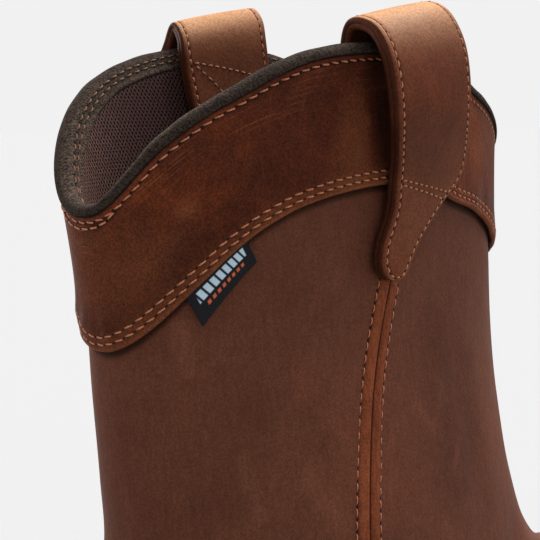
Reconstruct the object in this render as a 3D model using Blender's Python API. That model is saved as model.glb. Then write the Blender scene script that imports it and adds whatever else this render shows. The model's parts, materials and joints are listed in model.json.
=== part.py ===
"""Pull-on work boot for the right foot, built as separately named solids.

Metres, +Z up, toe along +X, the wearer's left (the inner side) along +Y.
The origin is on the floor under the middle of the outsole.
Sizes below are in millimetres and are scaled where the meshes are made.
"""
import math

import bpy
import numpy as np

for old in list(bpy.data.objects):
    bpy.data.objects.remove(old, do_unlink=True)

MM = 0.001

# Driving sizes
OUTSOLE_LENGTH = 306.0
BALL_WIDTH = 98.0
HEEL_HEIGHT = 40.0
BALL_HEIGHT = 20.5
TOE_SPRING = 11.0
INSTEP_HEIGHT = 109.0
COLLAR_HEIGHT = 278.7
SHAFT_X = -74.0
SHAFT_LENGTH = 158.0
SHAFT_WIDTH = 63.4
BACK_DIP = 36.3
BACK_DIP_POWER = 3.3
FRONT_DIP = 30.0
FRONT_DIP_POWER = 1.35
PEAK_FORWARD = 0.18
WALL = 2.3
GAP = 0.3
PANEL_HEIGHT = 32.4
PANEL_THICK = 1.6
STRAP_WIDTH = 31.6
STRAP_THICK = 3.2
SEAM_WIDTH = 7.4
SEAM_THICK = 0.9
SEAM_GAP = 0.5
TAG_THICK = 0.8
INSOLE_THICK = 4.0
WELT_THICK = 3.8
WELT_REACH = 5.6
FLANGE = 6.0
COLUMNS = 64

# Places along the foot that the sections share
HEEL_BACK = -OUTSOLE_LENGTH / 2 + FLANGE
TOE_TIP = OUTSOLE_LENGTH / 2 - FLANGE
BALL_X = 45.0
BALL_HALF = BALL_WIDTH / 2
BALL_SLANT = 11.0
WAIST_X = -38.0
WAIST_REACH = 46.0
WAIST_OUTER_SHARE = 0.45
TOE_SWING = 7.0
FOOT_SHIFT = -1.2
TOP = COLLAR_HEIGHT + 3.3

# One row a section, from the sole up; height is taken at the back of the section
SECTION_COLUMNS = ("height", "back_x", "front_x", "front_z", "widest_x",
                   "half_width", "front_round", "back_round", "egg", "waist")
SECTIONS = (
    # feather edge, on the sole
    (HEEL_HEIGHT, HEEL_BACK + 3.5, TOE_TIP - 3.5, 31.0, BALL_X, BALL_HALF - 2.5, 2.35, 2.7, 0.0, 0.24),
    # fullest line of the foot
    (HEEL_HEIGHT + 12, HEEL_BACK, TOE_TIP, 43.0, BALL_X, BALL_HALF - 0.5, 2.35, 2.7, 0.0, 0.22),
    (HEEL_HEIGHT + 26, HEEL_BACK - 0.5, TOE_TIP - 0.5, 57.0, BALL_X - 3, BALL_HALF - 1.0, 2.3, 2.6, 0.0, 0.19),
    # shoulder of the toe
    (HEEL_HEIGHT + 40, HEEL_BACK + 0.5, TOE_TIP - 8, 70.5, BALL_X - 17, BALL_HALF - 3.5, 2.2, 2.5, 0.0, 0.13),
    # top of the toe
    (HEEL_HEIGHT + 52, HEEL_BACK + 2, TOE_TIP - 27, 79.5, BALL_X - 45, BALL_HALF - 7.0, 2.1, 2.4, 0.0, 0.08),
    # vamp
    (HEEL_HEIGHT + 63, HEEL_BACK + 4, TOE_TIP - 53, 87.0, BALL_X - 73, BALL_HALF - 9.0, 2.0, 2.3, 0.0, 0.04),
    (HEEL_HEIGHT + 74, HEEL_BACK + 5.5, TOE_TIP - 79, INSTEP_HEIGHT - 12.5, BALL_X - 92,
     BALL_HALF - 10.0, 1.95, 2.25, 0.0, 0.02),
    # instep
    (HEEL_HEIGHT + 86, HEEL_BACK + 6.5, TOE_TIP - 103, INSTEP_HEIGHT, BALL_X - 104,
     BALL_HALF - 10.5, 1.95, 2.2, 0.0, 0.0),
    (HEEL_HEIGHT + 99, HEEL_BACK + 7.5, TOE_TIP - 120, INSTEP_HEIGHT + 17, BALL_X - 109,
     BALL_HALF - 10.7, 2.0, 2.2, -0.02, 0.0),
    # ankle
    (HEEL_HEIGHT + 115, HEEL_BACK + 10.4, TOE_TIP - 132, INSTEP_HEIGHT + 39, SHAFT_X + 11,
     BALL_HALF - 11.5, 2.1, 2.18, -0.05, 0.0),
    (TOP - 110, SHAFT_X - 63.5, TOE_TIP - 138, TOP - 110, SHAFT_X + 9.5,
     SHAFT_WIDTH / 2 + 3.4, 2.18, 2.18, -0.08, 0.0),
    # shaft
    (TOP - 85, SHAFT_X - 65.9, SHAFT_X + 80.6, TOP - 85, SHAFT_X + 7.2,
     SHAFT_WIDTH / 2 - 0.2, 2.22, 2.18, -0.1, 0.0),
    (TOP - 55, SHAFT_X - 67.9, SHAFT_X + 79.6, TOP - 55, SHAFT_X + 4.9,
     SHAFT_WIDTH / 2 - 2.1, 2.25, 2.18, -0.11, 0.0),
    (TOP - 25, SHAFT_X - 73.0, SHAFT_X + 79.0, TOP - 25, SHAFT_X + 2.2,
     SHAFT_WIDTH / 2 - 2.3, 2.25, 2.18, -0.11, 0.0),
    (TOP, SHAFT_X - SHAFT_LENGTH / 2, SHAFT_X + SHAFT_LENGTH / 2, TOP, SHAFT_X,
     SHAFT_WIDTH / 2, 2.25, 2.18, -0.11, 0.0),
)
SECTION = {name: np.array([row[i] for row in SECTIONS], float) for i, name in enumerate(SECTION_COLUMNS)}
PLANE_FROM = HEEL_HEIGHT
PLANE_FULL = HEEL_HEIGHT + 72.0

# Top of the outsole along the foot: place and height
SOLE_TOP_COLUMNS = ("x", "z")
SOLE_TOP = (
    (HEEL_BACK, HEEL_HEIGHT), (-92.0, HEEL_HEIGHT - 0.5), (-62.0, HEEL_HEIGHT - 4.0),
    (-20.0, BALL_HEIGHT + 8.0), (20.0, BALL_HEIGHT + 1.6), (60.0, BALL_HEIGHT),
    (95.0, BALL_HEIGHT + 1.6), (125.0, BALL_HEIGHT + 5.8), (TOE_TIP, BALL_HEIGHT + TOE_SPRING),
)

# Rolled edge of the collar: distance out from the upper's outer face, rise from the leather's top
BINDING_COLUMNS = ("out", "rise")
BINDING = (
    (2.4, 0.1), (2.9, 1.2), (2.4, 2.4), (0.8, 3.2), (-1.9, 3.2), (-3.5, 2.4),
    (-3.9, 0.8), (-3.75, -4.0), (-2.7, -4.0), (-2.7, 0.1),
)

# Pull straps from the outer tail over the collar to the inner tail; out falls by twist toward the front
STRAP_COLUMNS = ("rise", "out", "half_width", "forward", "tilt", "twist")
STRAP_HALF = STRAP_WIDTH / 2
OUTER_STRAP = (
    (-56.6, 2.9, 3.0, -3.3, 0.0, 0.0),
    (-55.4, 2.9, 4.4, -3.1, 0.0, 0.0),
    (-52.5, 2.9, 6.6, -2.7, 0.0, 0.0),
    (-47.0, 3.1, 8.4, -0.1, 0.0, 0.0),
    (-39.0, 3.7, 11.0, 5.8, 0.0, 0.0),
    (-32.0, 4.4, STRAP_HALF - 0.1, 10.3, 0.0, 0.02),
    (-25.0, 6.4, STRAP_HALF + 1.2, 9.2, 0.0, 0.04),
    (-16.0, 10.5, STRAP_HALF + 0.5, 3.0, 0.03, 0.04),
    (-7.0, 11.5, STRAP_HALF + 0.3, -0.2, 0.08, 0.04),
    (1.0, 9.5, STRAP_HALF + 0.3, -1.0, 0.13, 0.04),
    (7.1, 5.0, STRAP_HALF + 0.4, -0.7, 0.17, 0.05),
    (9.3, 0.0, STRAP_HALF, -0.4, 0.19, 0.03),
    (8.3, -4.2, STRAP_HALF - 0.3, 0.1, 0.18, 0.02),
    (2.8, -5.8, STRAP_HALF - 0.3, 0.8, 0.14, 0.02),
    (-5.0, -5.8, STRAP_HALF - 0.3, 1.4, 0.08, 0.02),
    (-16.0, -5.3, STRAP_HALF - 0.3, 2.6, 0.03, 0.0),
    (-28.0, -4.9, STRAP_HALF - 0.3, 3.6, 0.0, 0.0),
    (-33.0, -4.8, 12.0, 3.9, 0.0, 0.0),
)
INNER_STRAP = (
    (-56.6, 2.9, 3.0, 4.6, 0.0, 0.0),
    (-55.4, 2.9, 4.4, 4.8, 0.0, 0.0),
    (-52.5, 2.9, 6.6, 5.2, 0.0, 0.0),
    (-47.0, 3.1, 8.4, 6.5, 0.0, 0.0),
    (-39.0, 3.7, 11.0, 8.0, 0.0, 0.0),
    (-32.0, 4.6, STRAP_HALF - 0.8, 8.0, 0.0, 0.02),
    (-25.0, 7.4, STRAP_HALF, 6.4, 0.0, 0.04),
    (-16.0, 10.4, STRAP_HALF, 3.2, 0.03, 0.05),
    (-7.0, 9.8, STRAP_HALF - 0.3, 1.0, 0.08, 0.05),
    (1.0, 6.4, STRAP_HALF - 0.5, 0.2, 0.13, 0.05),
    (6.4, 3.2, STRAP_HALF - 0.8, 0.2, 0.17, 0.05),
    (11.3, -0.3, STRAP_HALF - 0.8, 0.0, 0.19, 0.03),
    (8.0, -4.2, STRAP_HALF - 0.2, -0.9, 0.18, 0.02),
    (2.8, -5.8, STRAP_HALF, -1.8, 0.14, 0.02),
    (-5.0, -5.8, STRAP_HALF, -1.2, 0.08, 0.02),
    (-16.0, -5.5, STRAP_HALF + 0.2, 0.7, 0.03, 0.0),
    (-28.0, -5.2, STRAP_HALF - 0.4, 3.0, 0.0, 0.0),
    (-33.0, -5.1, 12.0, 3.4, 0.0, 0.0),
)
STRAP = {-1: OUTER_STRAP, 1: INNER_STRAP}
STRAP_STEPS = 42
STRAP_ACROSS = 4
STRAP_PLACE = {-1: SHAFT_X + 3.2, 1: SHAFT_X - 2.6}
STRAP_LIFT = {-1: 0.0, 1: 1.0}

# Side seam: place along the foot at each height, from the shaft's middle
SEAM_COLUMNS = ("height", "forward")
SEAM = (
    (HEEL_HEIGHT, -17.0), (80.0, -16.4), (120.0, -15.0), (142.0, -13.4), (162.0, -12.4),
    (182.0, -9.4), (202.0, -4.4), (222.0, 2.6),
)
SEAM_FOOT = HEEL_HEIGHT + 6.0
SEAM_STEPS = 18

# Woven tag on the outer side, hanging from the panel's edge
TAG_ACROSS = 13.2
TAG_DROP = 5.7
TAG_LEAN = 3.0
TAG_GAP = 0.5
TAG_FORWARD = -50.3

# Step table for the outsole's side: share of the way down, distance out
SIDE_COLUMNS = ("down", "out")
SIDE_STEPS = (
    (0.0, 0.0), (0.24, 0.3), (0.28, -1.2), (0.40, -1.2), (0.44, 0.5), (0.72, 0.9), (1.0, 0.2),
)
FLAT_HEEL_END = -66.0
ARCH_END = 12.0
ARCH_RISE = 11.0
TOE_FLAT_END = 84.0
LUG_DEPTH = 5.5
LUG_GROOVE = 6.5
LUG_INNER = 13.0
LUG_SKEW_DEG = 18.0
LUG_PLACES = (-134.0, -114.0, -94.0, 24.0, 44.0, 64.0, 86.0, 108.0, 128.0)


def blend(xs, ys, at):
    """Smooth curve through a table's rows, straight beyond its ends."""
    xs = np.asarray(xs, float)
    ys = np.asarray(ys, float)
    at = np.asarray(at, float)
    slope = np.gradient(ys, xs)
    i = np.clip(np.searchsorted(xs, at) - 1, 0, len(xs) - 2)
    span = xs[i + 1] - xs[i]
    t = np.clip((at - xs[i]) / span, 0.0, 1.0)
    beyond = at - (xs[i] + t * span)
    value = ((1 + 2 * t) * (1 - t) ** 2 * ys[i] + t * (1 - t) ** 2 * span * slope[i]
             + t * t * (3 - 2 * t) * ys[i + 1] + t * t * (t - 1) * span * slope[i + 1])
    return value + beyond * np.where(t < 0.5, slope[i], slope[i + 1])


def sole_top(x):
    """Height of the outsole's upper face along the foot."""
    return blend([row[0] for row in SOLE_TOP], [row[1] for row in SOLE_TOP], x)


def upper_face(phi, height):
    """Outer face of the upper: phi is 0 at the toe and -90 degrees at the middle of the outer side."""
    phi, height = np.broadcast_arrays(np.asarray(phi, float), np.asarray(height, float))
    row = {name: blend(SECTION["height"], SECTION[name], height) for name in SECTION_COLUMNS[1:]}
    c = np.cos(phi)
    s = np.sin(phi)
    inner = s > 0
    foot = np.clip((PLANE_FULL - height) / (PLANE_FULL - PLANE_FROM), 0.0, 1.0)
    widest = row["widest_x"] + np.where(inner, BALL_SLANT, -BALL_SLANT) * foot
    reach = np.where(c > 0, row["front_x"] - widest, widest - row["back_x"])
    power = 2.0 / np.where(c > 0, row["front_round"], row["back_round"])
    along = np.sign(c) * np.abs(c) ** power
    x = widest + reach * along
    y = row["half_width"] * np.sign(s) * np.abs(s) ** power * (1 + row["egg"] * along)
    waist = row["waist"] * np.where(inner, 1.0, WAIST_OUTER_SHARE)
    y = y * (1 - waist * np.exp(-((x - WAIST_X) / WAIST_REACH) ** 2))
    y = y + TOE_SWING * np.clip((x - BALL_X) / (TOE_TIP - BALL_X), 0.0, 1.0) ** 2 + FOOT_SHIFT * foot
    share = (x - row["back_x"]) / (row["front_x"] - row["back_x"])
    plane = height + (row["front_z"] - height) * share
    lifted = height - HEEL_HEIGHT + sole_top(x)
    mix = np.clip((height - PLANE_FROM) / (PLANE_FULL - PLANE_FROM), 0.0, 1.0)
    mix = mix * mix * (3 - 2 * mix)
    return np.stack([x, y, lifted * (1 - mix) + plane * mix], axis=-1)


def upper_normal(phi, height):
    """Outward direction of the upper's outer face."""
    around = upper_face(np.asarray(phi) + 0.02, height) - upper_face(np.asarray(phi) - 0.02, height)
    rising = upper_face(phi, np.asarray(height) + 0.6) - upper_face(phi, np.asarray(height) - 0.6)
    n = np.cross(around, rising)
    return n / np.linalg.norm(n, axis=-1, keepdims=True)


def off_upper(phi, height, out):
    """A point a distance out from the upper's outer face."""
    return upper_face(phi, height) + upper_normal(phi, height) * np.asarray(out, float)[..., None]


def collar(phi):
    """Height of the leather's top edge, high at the sides, low at the back and front."""
    t = np.cos(phi)
    back = np.clip((PEAK_FORWARD - t) / (1 + PEAK_FORWARD), 0.0, 1.0)
    front = np.clip((t - PEAK_FORWARD) / (1 - PEAK_FORWARD), 0.0, 1.0)
    return COLLAR_HEIGHT - BACK_DIP * back ** BACK_DIP_POWER - FRONT_DIP * front ** FRONT_DIP_POWER


def angle_at(x, height, side):
    """The angle at which the upper's face is at x, on the outer (-1) or inner (1) side."""
    x, height = np.broadcast_arrays(np.asarray(x, float), np.asarray(height, float))
    low = np.zeros(x.shape)
    high = np.full(x.shape, math.pi)
    for _ in range(40):
        middle = (low + high) / 2
        ahead = upper_face(side * middle, height)[..., 0] > x
        low = np.where(ahead, middle, low)
        high = np.where(ahead, high, middle)
    return side * (low + high) / 2


def material(name, colour, roughness):
    made = bpy.data.materials.new(name)
    made.use_nodes = True
    shader = made.node_tree.nodes["Principled BSDF"]
    shader.inputs["Base Color"].default_value = (*colour, 1.0)
    shader.inputs["Roughness"].default_value = roughness
    return made


def solid(name, points, faces, paint):
    """One named object from points in millimetres."""
    mesh = bpy.data.meshes.new(name)
    mesh.from_pydata((np.asarray(points).reshape(-1, 3) * MM).tolist(), [], faces)
    mesh.validate()
    mesh.update()
    made = bpy.data.objects.new(name, mesh)
    made.data.materials.append(paint)
    bpy.context.scene.collection.objects.link(made)
    return made


def around_faces(rows, columns, start=0, flip=False):
    """Quads between rows of points that close on themselves."""
    faces = []
    for i in range(rows - 1):
        for j in range(columns):
            k = (j + 1) % columns
            face = (start + i * columns + j, start + i * columns + k,
                    start + (i + 1) * columns + k, start + (i + 1) * columns + j)
            faces.append(face[::-1] if flip else face)
    return faces


def rim_faces(lower, upper, columns):
    """Quads between two closed rows that start at the given points."""
    faces = []
    for j in range(columns):
        k = (j + 1) % columns
        faces.append((lower + j, lower + k, upper + k, upper + j))
    return faces


def shell(name, outer, inner, paint):
    """A closed wall between an outer and an inner grid of rows."""
    rows, columns = outer.shape[:2]
    half = rows * columns
    faces = around_faces(rows, columns) + around_faces(rows, columns, half, True)
    faces += rim_faces(half, 0, columns)
    faces += rim_faces((rows - 1) * columns, half + (rows - 1) * columns, columns)
    return solid(name, np.concatenate([outer.reshape(-1, 3), inner.reshape(-1, 3)]), faces, paint)


def slab(name, face, back, paint):
    """A closed plate between two open grids of the same size, face outward."""
    rows, columns = face.shape[:2]
    half = rows * columns
    faces = []
    for i in range(rows - 1):
        for j in range(columns - 1):
            a = i * columns + j
            b = a + columns
            faces.append((a, a + 1, b + 1, b))
            faces.append((half + b, half + b + 1, half + a + 1, half + a))
    edge = [(0, j) for j in range(columns)] + [(i, columns - 1) for i in range(1, rows)]
    edge += [(rows - 1, j) for j in range(columns - 2, -1, -1)] + [(i, 0) for i in range(rows - 2, 0, -1)]
    edge = [i * columns + j for i, j in edge]
    for a, b in zip(edge, edge[1:] + edge[:1]):
        faces.append((b, a, half + a, half + b))
    return solid(name, np.concatenate([face.reshape(-1, 3), back.reshape(-1, 3)]), faces, paint)


PHI = np.arange(COLUMNS) * 2 * math.pi / COLUMNS
LEATHER = material("oiled_leather", (0.09, 0.035, 0.017), 0.55)
PANEL = material("collar_leather", (0.13, 0.05, 0.024), 0.5)
STRAPPING = material("strap_leather", (0.17, 0.07, 0.033), 0.5)
EDGING = material("edging_cloth", (0.035, 0.031, 0.024), 0.85)
WOVEN = material("woven_tag", (0.012, 0.013, 0.016), 0.8)
RUBBER = material("sole_rubber", (0.02, 0.016, 0.014), 0.75)
WELTING = material("welt_leather", (0.05, 0.024, 0.014), 0.65)
FOOTBED = material("footbed_foam", (0.05, 0.045, 0.042), 0.9)

# Upper: one hollow wall from the sole to the collar
LOW_ROWS = (0.0, 6.0, 12.0, 20.0, 28.0, 36.0, 44.0, 51.0, 58.0, 65.0, 72.0, 80.0, 90.0, 103.0, 119.0)
SHAFT_ROWS = (0.0, 0.5)
PANEL_ROWS = (0.0, 0.33, 0.67, 1.0)
SHAFT_FROM = HEEL_HEIGHT + 136.0
low = collar(PHI) - PANEL_HEIGHT
panel_heights = np.array([low + (collar(PHI) - GAP - low) * share for share in PANEL_ROWS])
heights = [np.full(COLUMNS, HEEL_HEIGHT + GAP + rise) for rise in LOW_ROWS]
for share in SHAFT_ROWS:
    heights.append(SHAFT_FROM + (low - SHAFT_FROM) * share)
heights = np.concatenate([heights, panel_heights])
outside = upper_face(PHI[None, :], heights)
inside = off_upper(PHI[None, :], heights, np.full(heights.shape, -WALL))
inside[0, :, 2] = outside[0, :, 2]
inside[-1, :, 2] = outside[-1, :, 2]
shell("upper", outside, inside, LEATHER)

# Panel round the collar, a scalloped ring lying on the shaft
panel_face = off_upper(PHI[None, :], panel_heights, np.full(panel_heights.shape, GAP + PANEL_THICK))
panel_back = off_upper(PHI[None, :], panel_heights, np.full(panel_heights.shape, GAP))
shell("collar_panel", panel_face, panel_back, PANEL)

# Rolled edge over the top of the leather, with a facing down the inside
section = []
for out, rise in BINDING:
    section.append(off_upper(PHI, collar(PHI) + rise, np.full(COLUMNS, out)))
section = np.array(section)
binding_faces = around_faces(len(BINDING), COLUMNS) + rim_faces((len(BINDING) - 1) * COLUMNS, 0, COLUMNS)
solid("collar_binding", section, binding_faces, EDGING)


def strap_middle(side):
    """Middle surface of a pull strap on one side, a row of points a station."""
    rows = STRAP[side]
    at = np.linspace(0.0, len(rows) - 1.0, STRAP_STEPS)
    column = {}
    for i, name in enumerate(STRAP_COLUMNS):
        column[name] = blend(np.arange(len(rows)), [row[i] for row in rows], at)
    across = np.linspace(-1.0, 1.0, STRAP_ACROSS + 1)
    sideways = column["half_width"][:, None] * across[None, :]
    x = STRAP_PLACE[side] + column["forward"][:, None] + sideways
    level = collar(angle_at(STRAP_PLACE[side], COLLAR_HEIGHT, side))
    height = level + STRAP_LIFT[side] + column["rise"][:, None] + column["tilt"][:, None] * sideways
    phi = angle_at(x, height, side)
    return off_upper(phi, height, column["out"][:, None] - column["twist"][:, None] * sideways)


def pull_strap(name, side):
    middle = strap_middle(side)
    along = np.gradient(middle, axis=0)
    across = np.gradient(middle, axis=1)
    n = np.cross(along, across) * side
    n = n / np.linalg.norm(n, axis=-1, keepdims=True)
    face = middle + n * STRAP_THICK / 2
    back = middle - n * STRAP_THICK / 2
    if side > 0:
        face, back = back, face
    return slab(name, face, back, STRAPPING)


pull_strap("pull_strap_outer", -1)
pull_strap("pull_strap_inner", 1)


def side_seam(name, side):
    """Raised strip over the side seam, from under the strap to the welt."""
    top = COLLAR_HEIGHT + STRAP[side][0][0] - 2.2
    levels = np.linspace(SEAM_FOOT, top, SEAM_STEPS)
    middle = SHAFT_X + blend([row[0] for row in SEAM], [row[1] for row in SEAM], levels)
    across = np.linspace(-0.5, 0.5, 4) * SEAM_WIDTH
    level = np.broadcast_to(levels[:, None], (SEAM_STEPS, 4))
    phi = angle_at(middle[:, None] + across[None, :], level, side)
    face = off_upper(phi, level, np.full(phi.shape, SEAM_GAP + SEAM_THICK))
    back = off_upper(phi, level, np.full(phi.shape, SEAM_GAP))
    if side > 0:
        face = face[:, ::-1]
        back = back[:, ::-1]
    return slab(name, face, back, LEATHER)


side_seam("side_seam_outer", -1)
side_seam("side_seam_inner", 1)

# Woven tag below the panel's edge on the outer side
tag_x = SHAFT_X + TAG_FORWARD + np.linspace(-0.5, 0.5, 6) * TAG_ACROSS
tag_level = np.full(6, COLLAR_HEIGHT - 60.0)
for _ in range(4):
    tag_level = collar(angle_at(tag_x, tag_level, -1)) - PANEL_HEIGHT - TAG_GAP
tag_share = np.linspace(1.0, 0.0, 3)[:, None]
tag_rows = tag_level[None, :] - tag_share * TAG_DROP
tag_phi = angle_at(tag_x[None, :] + tag_share * TAG_LEAN, tag_rows, -1)
slab("side_tag", off_upper(tag_phi, tag_rows, np.full(tag_rows.shape, GAP + TAG_THICK)),
     off_upper(tag_phi, tag_rows, np.full(tag_rows.shape, GAP)), WOVEN)


def foot_outline(out):
    """Plan of the feather edge moved outward, in points that pair up left and right."""
    turn = np.linspace(0.0, 2 * math.pi, 721)
    ring = upper_face(turn, np.full(turn.shape, HEEL_HEIGHT))[:, :2]
    ahead = np.roll(ring[:-1], -1, axis=0) - np.roll(ring[:-1], 1, axis=0)
    ahead = np.concatenate([ahead, ahead[:1]])
    n = np.stack([ahead[:, 1], -ahead[:, 0]], axis=-1)
    moved = ring + n / np.linalg.norm(n, axis=-1, keepdims=True) * out
    half = COLUMNS // 2
    middle = (moved[0, 0] + moved[360, 0]) / 2
    reach = (moved[0, 0] - moved[360, 0]) / 2
    x = middle + reach * np.cos(np.linspace(0.0, math.pi, half + 1))
    inner = np.interp(x, moved[360::-1, 0], moved[360::-1, 1])
    outer = np.interp(x, moved[360:, 0], moved[360:, 1])
    return np.concatenate([np.column_stack([x, inner]), np.column_stack([x, outer])[-2:0:-1]])


def cap_faces(start, columns, flip):
    """Rungs across a closed row whose points pair up left and right."""
    faces = []
    half = columns // 2
    faces.append((start, start + 1, start + columns - 1))
    for j in range(1, half - 1):
        faces.append((start + j, start + j + 1, start + columns - j - 1, start + columns - j))
    faces.append((start + half - 1, start + half, start + half + 1))
    return [face[::-1] for face in faces] if flip else faces


def plate(name, outline, lower, upper, paint):
    """A closed plate from a plan outline, between two heights given at each point."""
    points = [np.column_stack([outline, lower]), np.column_stack([outline, upper])]
    faces = around_faces(2, COLUMNS) + cap_faces(COLUMNS, COLUMNS, False) + cap_faces(0, COLUMNS, True)
    return solid(name, np.concatenate(points), faces, paint)


# Insole inside the upper's foot
bed = foot_outline(-WALL - 0.7)
plate("insole", bed, sole_top(bed[:, 0]) + GAP, sole_top(bed[:, 0]) + GAP + INSOLE_THICK, FOOTBED)

# Welt round the foot of the upper
welt_in = foot_outline(1.5)
welt_out = foot_outline(WELT_REACH)
welt_rows = []
for ring, rise in ((welt_out, GAP), (welt_out, GAP + WELT_THICK), (welt_in, GAP + WELT_THICK), (welt_in, GAP)):
    welt_rows.append(np.column_stack([ring, sole_top(ring[:, 0]) + rise]))
welt_faces = around_faces(4, COLUMNS) + rim_faces(3 * COLUMNS, 0, COLUMNS)
solid("welt", np.concatenate(welt_rows), welt_faces, WELTING)


def tread(x):
    """Height of the tread: flat under heel and ball, rising at the toe."""
    lift = np.clip((np.asarray(x, float) - TOE_FLAT_END) / (OUTSOLE_LENGTH / 2 - TOE_FLAT_END), 0.0, 1.0)
    return TOE_SPRING * lift ** 1.7


# Outsole with steps down its side
side_rows = []
for down, out in SIDE_STEPS:
    ring = foot_outline(FLANGE + out)
    top_z = sole_top(ring[:, 0])
    side_rows.append(np.column_stack([ring, top_z + (tread(ring[:, 0]) - top_z) * down]))
side_rows = side_rows[::-1]
count = len(SIDE_STEPS)
sole_faces = around_faces(count, COLUMNS) + cap_faces((count - 1) * COLUMNS, COLUMNS, False)
sole_faces += cap_faces(0, COLUMNS, True)
outsole = solid("outsole", np.concatenate(side_rows), sole_faces, RUBBER)


def cutter(name, points, faces):
    made = solid(name, points, faces, RUBBER)
    made.hide_render = True
    made.display_type = "WIRE"
    cut = outsole.modifiers.new(name, "BOOLEAN")
    cut.operation = "DIFFERENCE"
    cut.solver = "EXACT"
    cut.object = made


# Arch between heel and ball
arch_x = np.concatenate([[FLAT_HEEL_END], np.linspace(FLAT_HEEL_END + 4.0, ARCH_END, 9)])
turn = (arch_x - FLAT_HEEL_END) / (ARCH_END - FLAT_HEEL_END)
arch_z = ARCH_RISE * (1 - turn ** 1.6)
arch_z[0] = ARCH_RISE - 2.0
arch_z[-1] = -0.6
profile = [(FLAT_HEEL_END, -3.0)] + list(zip(arch_x, arch_z)) + [(ARCH_END, -3.0)]
across_cut = BALL_WIDTH
points = [(x, -across_cut, z) for x, z in profile] + [(x, across_cut, z) for x, z in profile]
n = len(profile)
faces = [tuple(range(n))[::-1], tuple(range(n, 2 * n))]
faces += [(i, (i + 1) % n, n + (i + 1) % n, n + i) for i in range(n)]
cutter("arch_cutter", points, faces)

# Grooves that leave the main lugs along both edges
points = []
faces = []
for place in LUG_PLACES:
    for side in (-1, 1):
        skew = math.radians(LUG_SKEW_DEG) * side
        floor = float(tread(place))
        base = len(points)
        for z in (floor - 4.0, floor + LUG_DEPTH):
            for reach, half in ((LUG_INNER, 0.42), (BALL_WIDTH * 0.75, 0.5)):
                for end in (-1, 1):
                    x = place + end * half * LUG_GROOVE + math.sin(skew) * side * (reach - LUG_INNER)
                    points.append((x, side * reach, z))
        box = ((0, 1, 3, 2), (4, 6, 7, 5), (0, 4, 5, 1), (2, 3, 7, 6), (0, 2, 6, 4), (1, 5, 7, 3))
        for face in box:
            named = tuple(base + i for i in face)
            faces.append(named[::-1] if side > 0 else named)
cutter("lug_cutter", points, faces)
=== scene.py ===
"""Looks of the pull-on work boot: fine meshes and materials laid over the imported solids.

The frame is in metres, +Z up, toe along +X, the wearer's left along +Y.
Sizes below are in millimetres, as in the part's source, and are scaled where the meshes are made.
"""
import json
import math

import bpy
import numpy as np
from mathutils import Matrix, Vector

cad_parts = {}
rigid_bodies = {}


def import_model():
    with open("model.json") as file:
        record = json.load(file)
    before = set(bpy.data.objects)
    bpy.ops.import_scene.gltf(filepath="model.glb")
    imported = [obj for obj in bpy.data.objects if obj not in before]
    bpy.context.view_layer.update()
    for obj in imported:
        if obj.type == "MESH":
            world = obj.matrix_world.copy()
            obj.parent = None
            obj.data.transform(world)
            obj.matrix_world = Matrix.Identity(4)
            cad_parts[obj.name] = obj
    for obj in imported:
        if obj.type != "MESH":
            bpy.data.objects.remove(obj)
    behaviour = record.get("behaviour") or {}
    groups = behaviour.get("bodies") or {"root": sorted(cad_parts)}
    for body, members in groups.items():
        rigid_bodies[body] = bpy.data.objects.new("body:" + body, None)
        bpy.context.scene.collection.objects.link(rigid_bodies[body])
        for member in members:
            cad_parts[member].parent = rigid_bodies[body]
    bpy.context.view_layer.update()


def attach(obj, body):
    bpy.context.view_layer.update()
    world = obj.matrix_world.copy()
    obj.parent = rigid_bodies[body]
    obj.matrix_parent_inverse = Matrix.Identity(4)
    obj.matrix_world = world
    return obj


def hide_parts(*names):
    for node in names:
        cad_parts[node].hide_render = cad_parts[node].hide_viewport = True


for old in list(bpy.data.objects):
    bpy.data.objects.remove(old, do_unlink=True)
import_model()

MM = 0.001
RNG = np.random.default_rng(7)

# Driving sizes
OUTSOLE_LENGTH = 306.0
BALL_WIDTH = 98.0
HEEL_HEIGHT = 40.0
BALL_HEIGHT = 20.5
TOE_SPRING = 11.0
INSTEP_HEIGHT = 109.0
COLLAR_HEIGHT = 278.7
SHAFT_X = -74.0
SHAFT_LENGTH = 158.0
SHAFT_WIDTH = 63.4
BACK_DIP = 36.3
BACK_DIP_POWER = 3.3
FRONT_DIP = 30.0
FRONT_DIP_POWER = 1.35
PEAK_FORWARD = 0.18
WALL = 2.3
GAP = 0.3
PANEL_HEIGHT = 32.4
PANEL_THICK = 1.6
STRAP_WIDTH = 31.6
STRAP_THICK = 3.2
INSOLE_THICK = 4.0
WELT_THICK = 3.8
WELT_REACH = 5.6
FLANGE = 6.0

# Camera: where it stands to the shaft's top, its angles, and its focal length in pixels of the picture
PICTURE = 540.0
SENSOR = 36.0
CAMERA_DISTANCE = 267.756
CAMERA_AZIMUTH_DEG = 43.995
CAMERA_ELEVATION_DEG = 9.0127
CAMERA_ROLL_DEG = -0.5876
CAMERA_FOCAL = 990.104
CAMERA_SIDE = -8.5295
CAMERA_RISE = -60.4288

# Places along the foot that the sections share
HEEL_BACK = -OUTSOLE_LENGTH / 2 + FLANGE
TOE_TIP = OUTSOLE_LENGTH / 2 - FLANGE
BALL_X = 45.0
BALL_HALF = BALL_WIDTH / 2
BALL_SLANT = 11.0
WAIST_X = -38.0
WAIST_REACH = 46.0
WAIST_OUTER_SHARE = 0.45
TOE_SWING = 7.0
FOOT_SHIFT = -1.2
TOP = COLLAR_HEIGHT + 3.3

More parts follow.
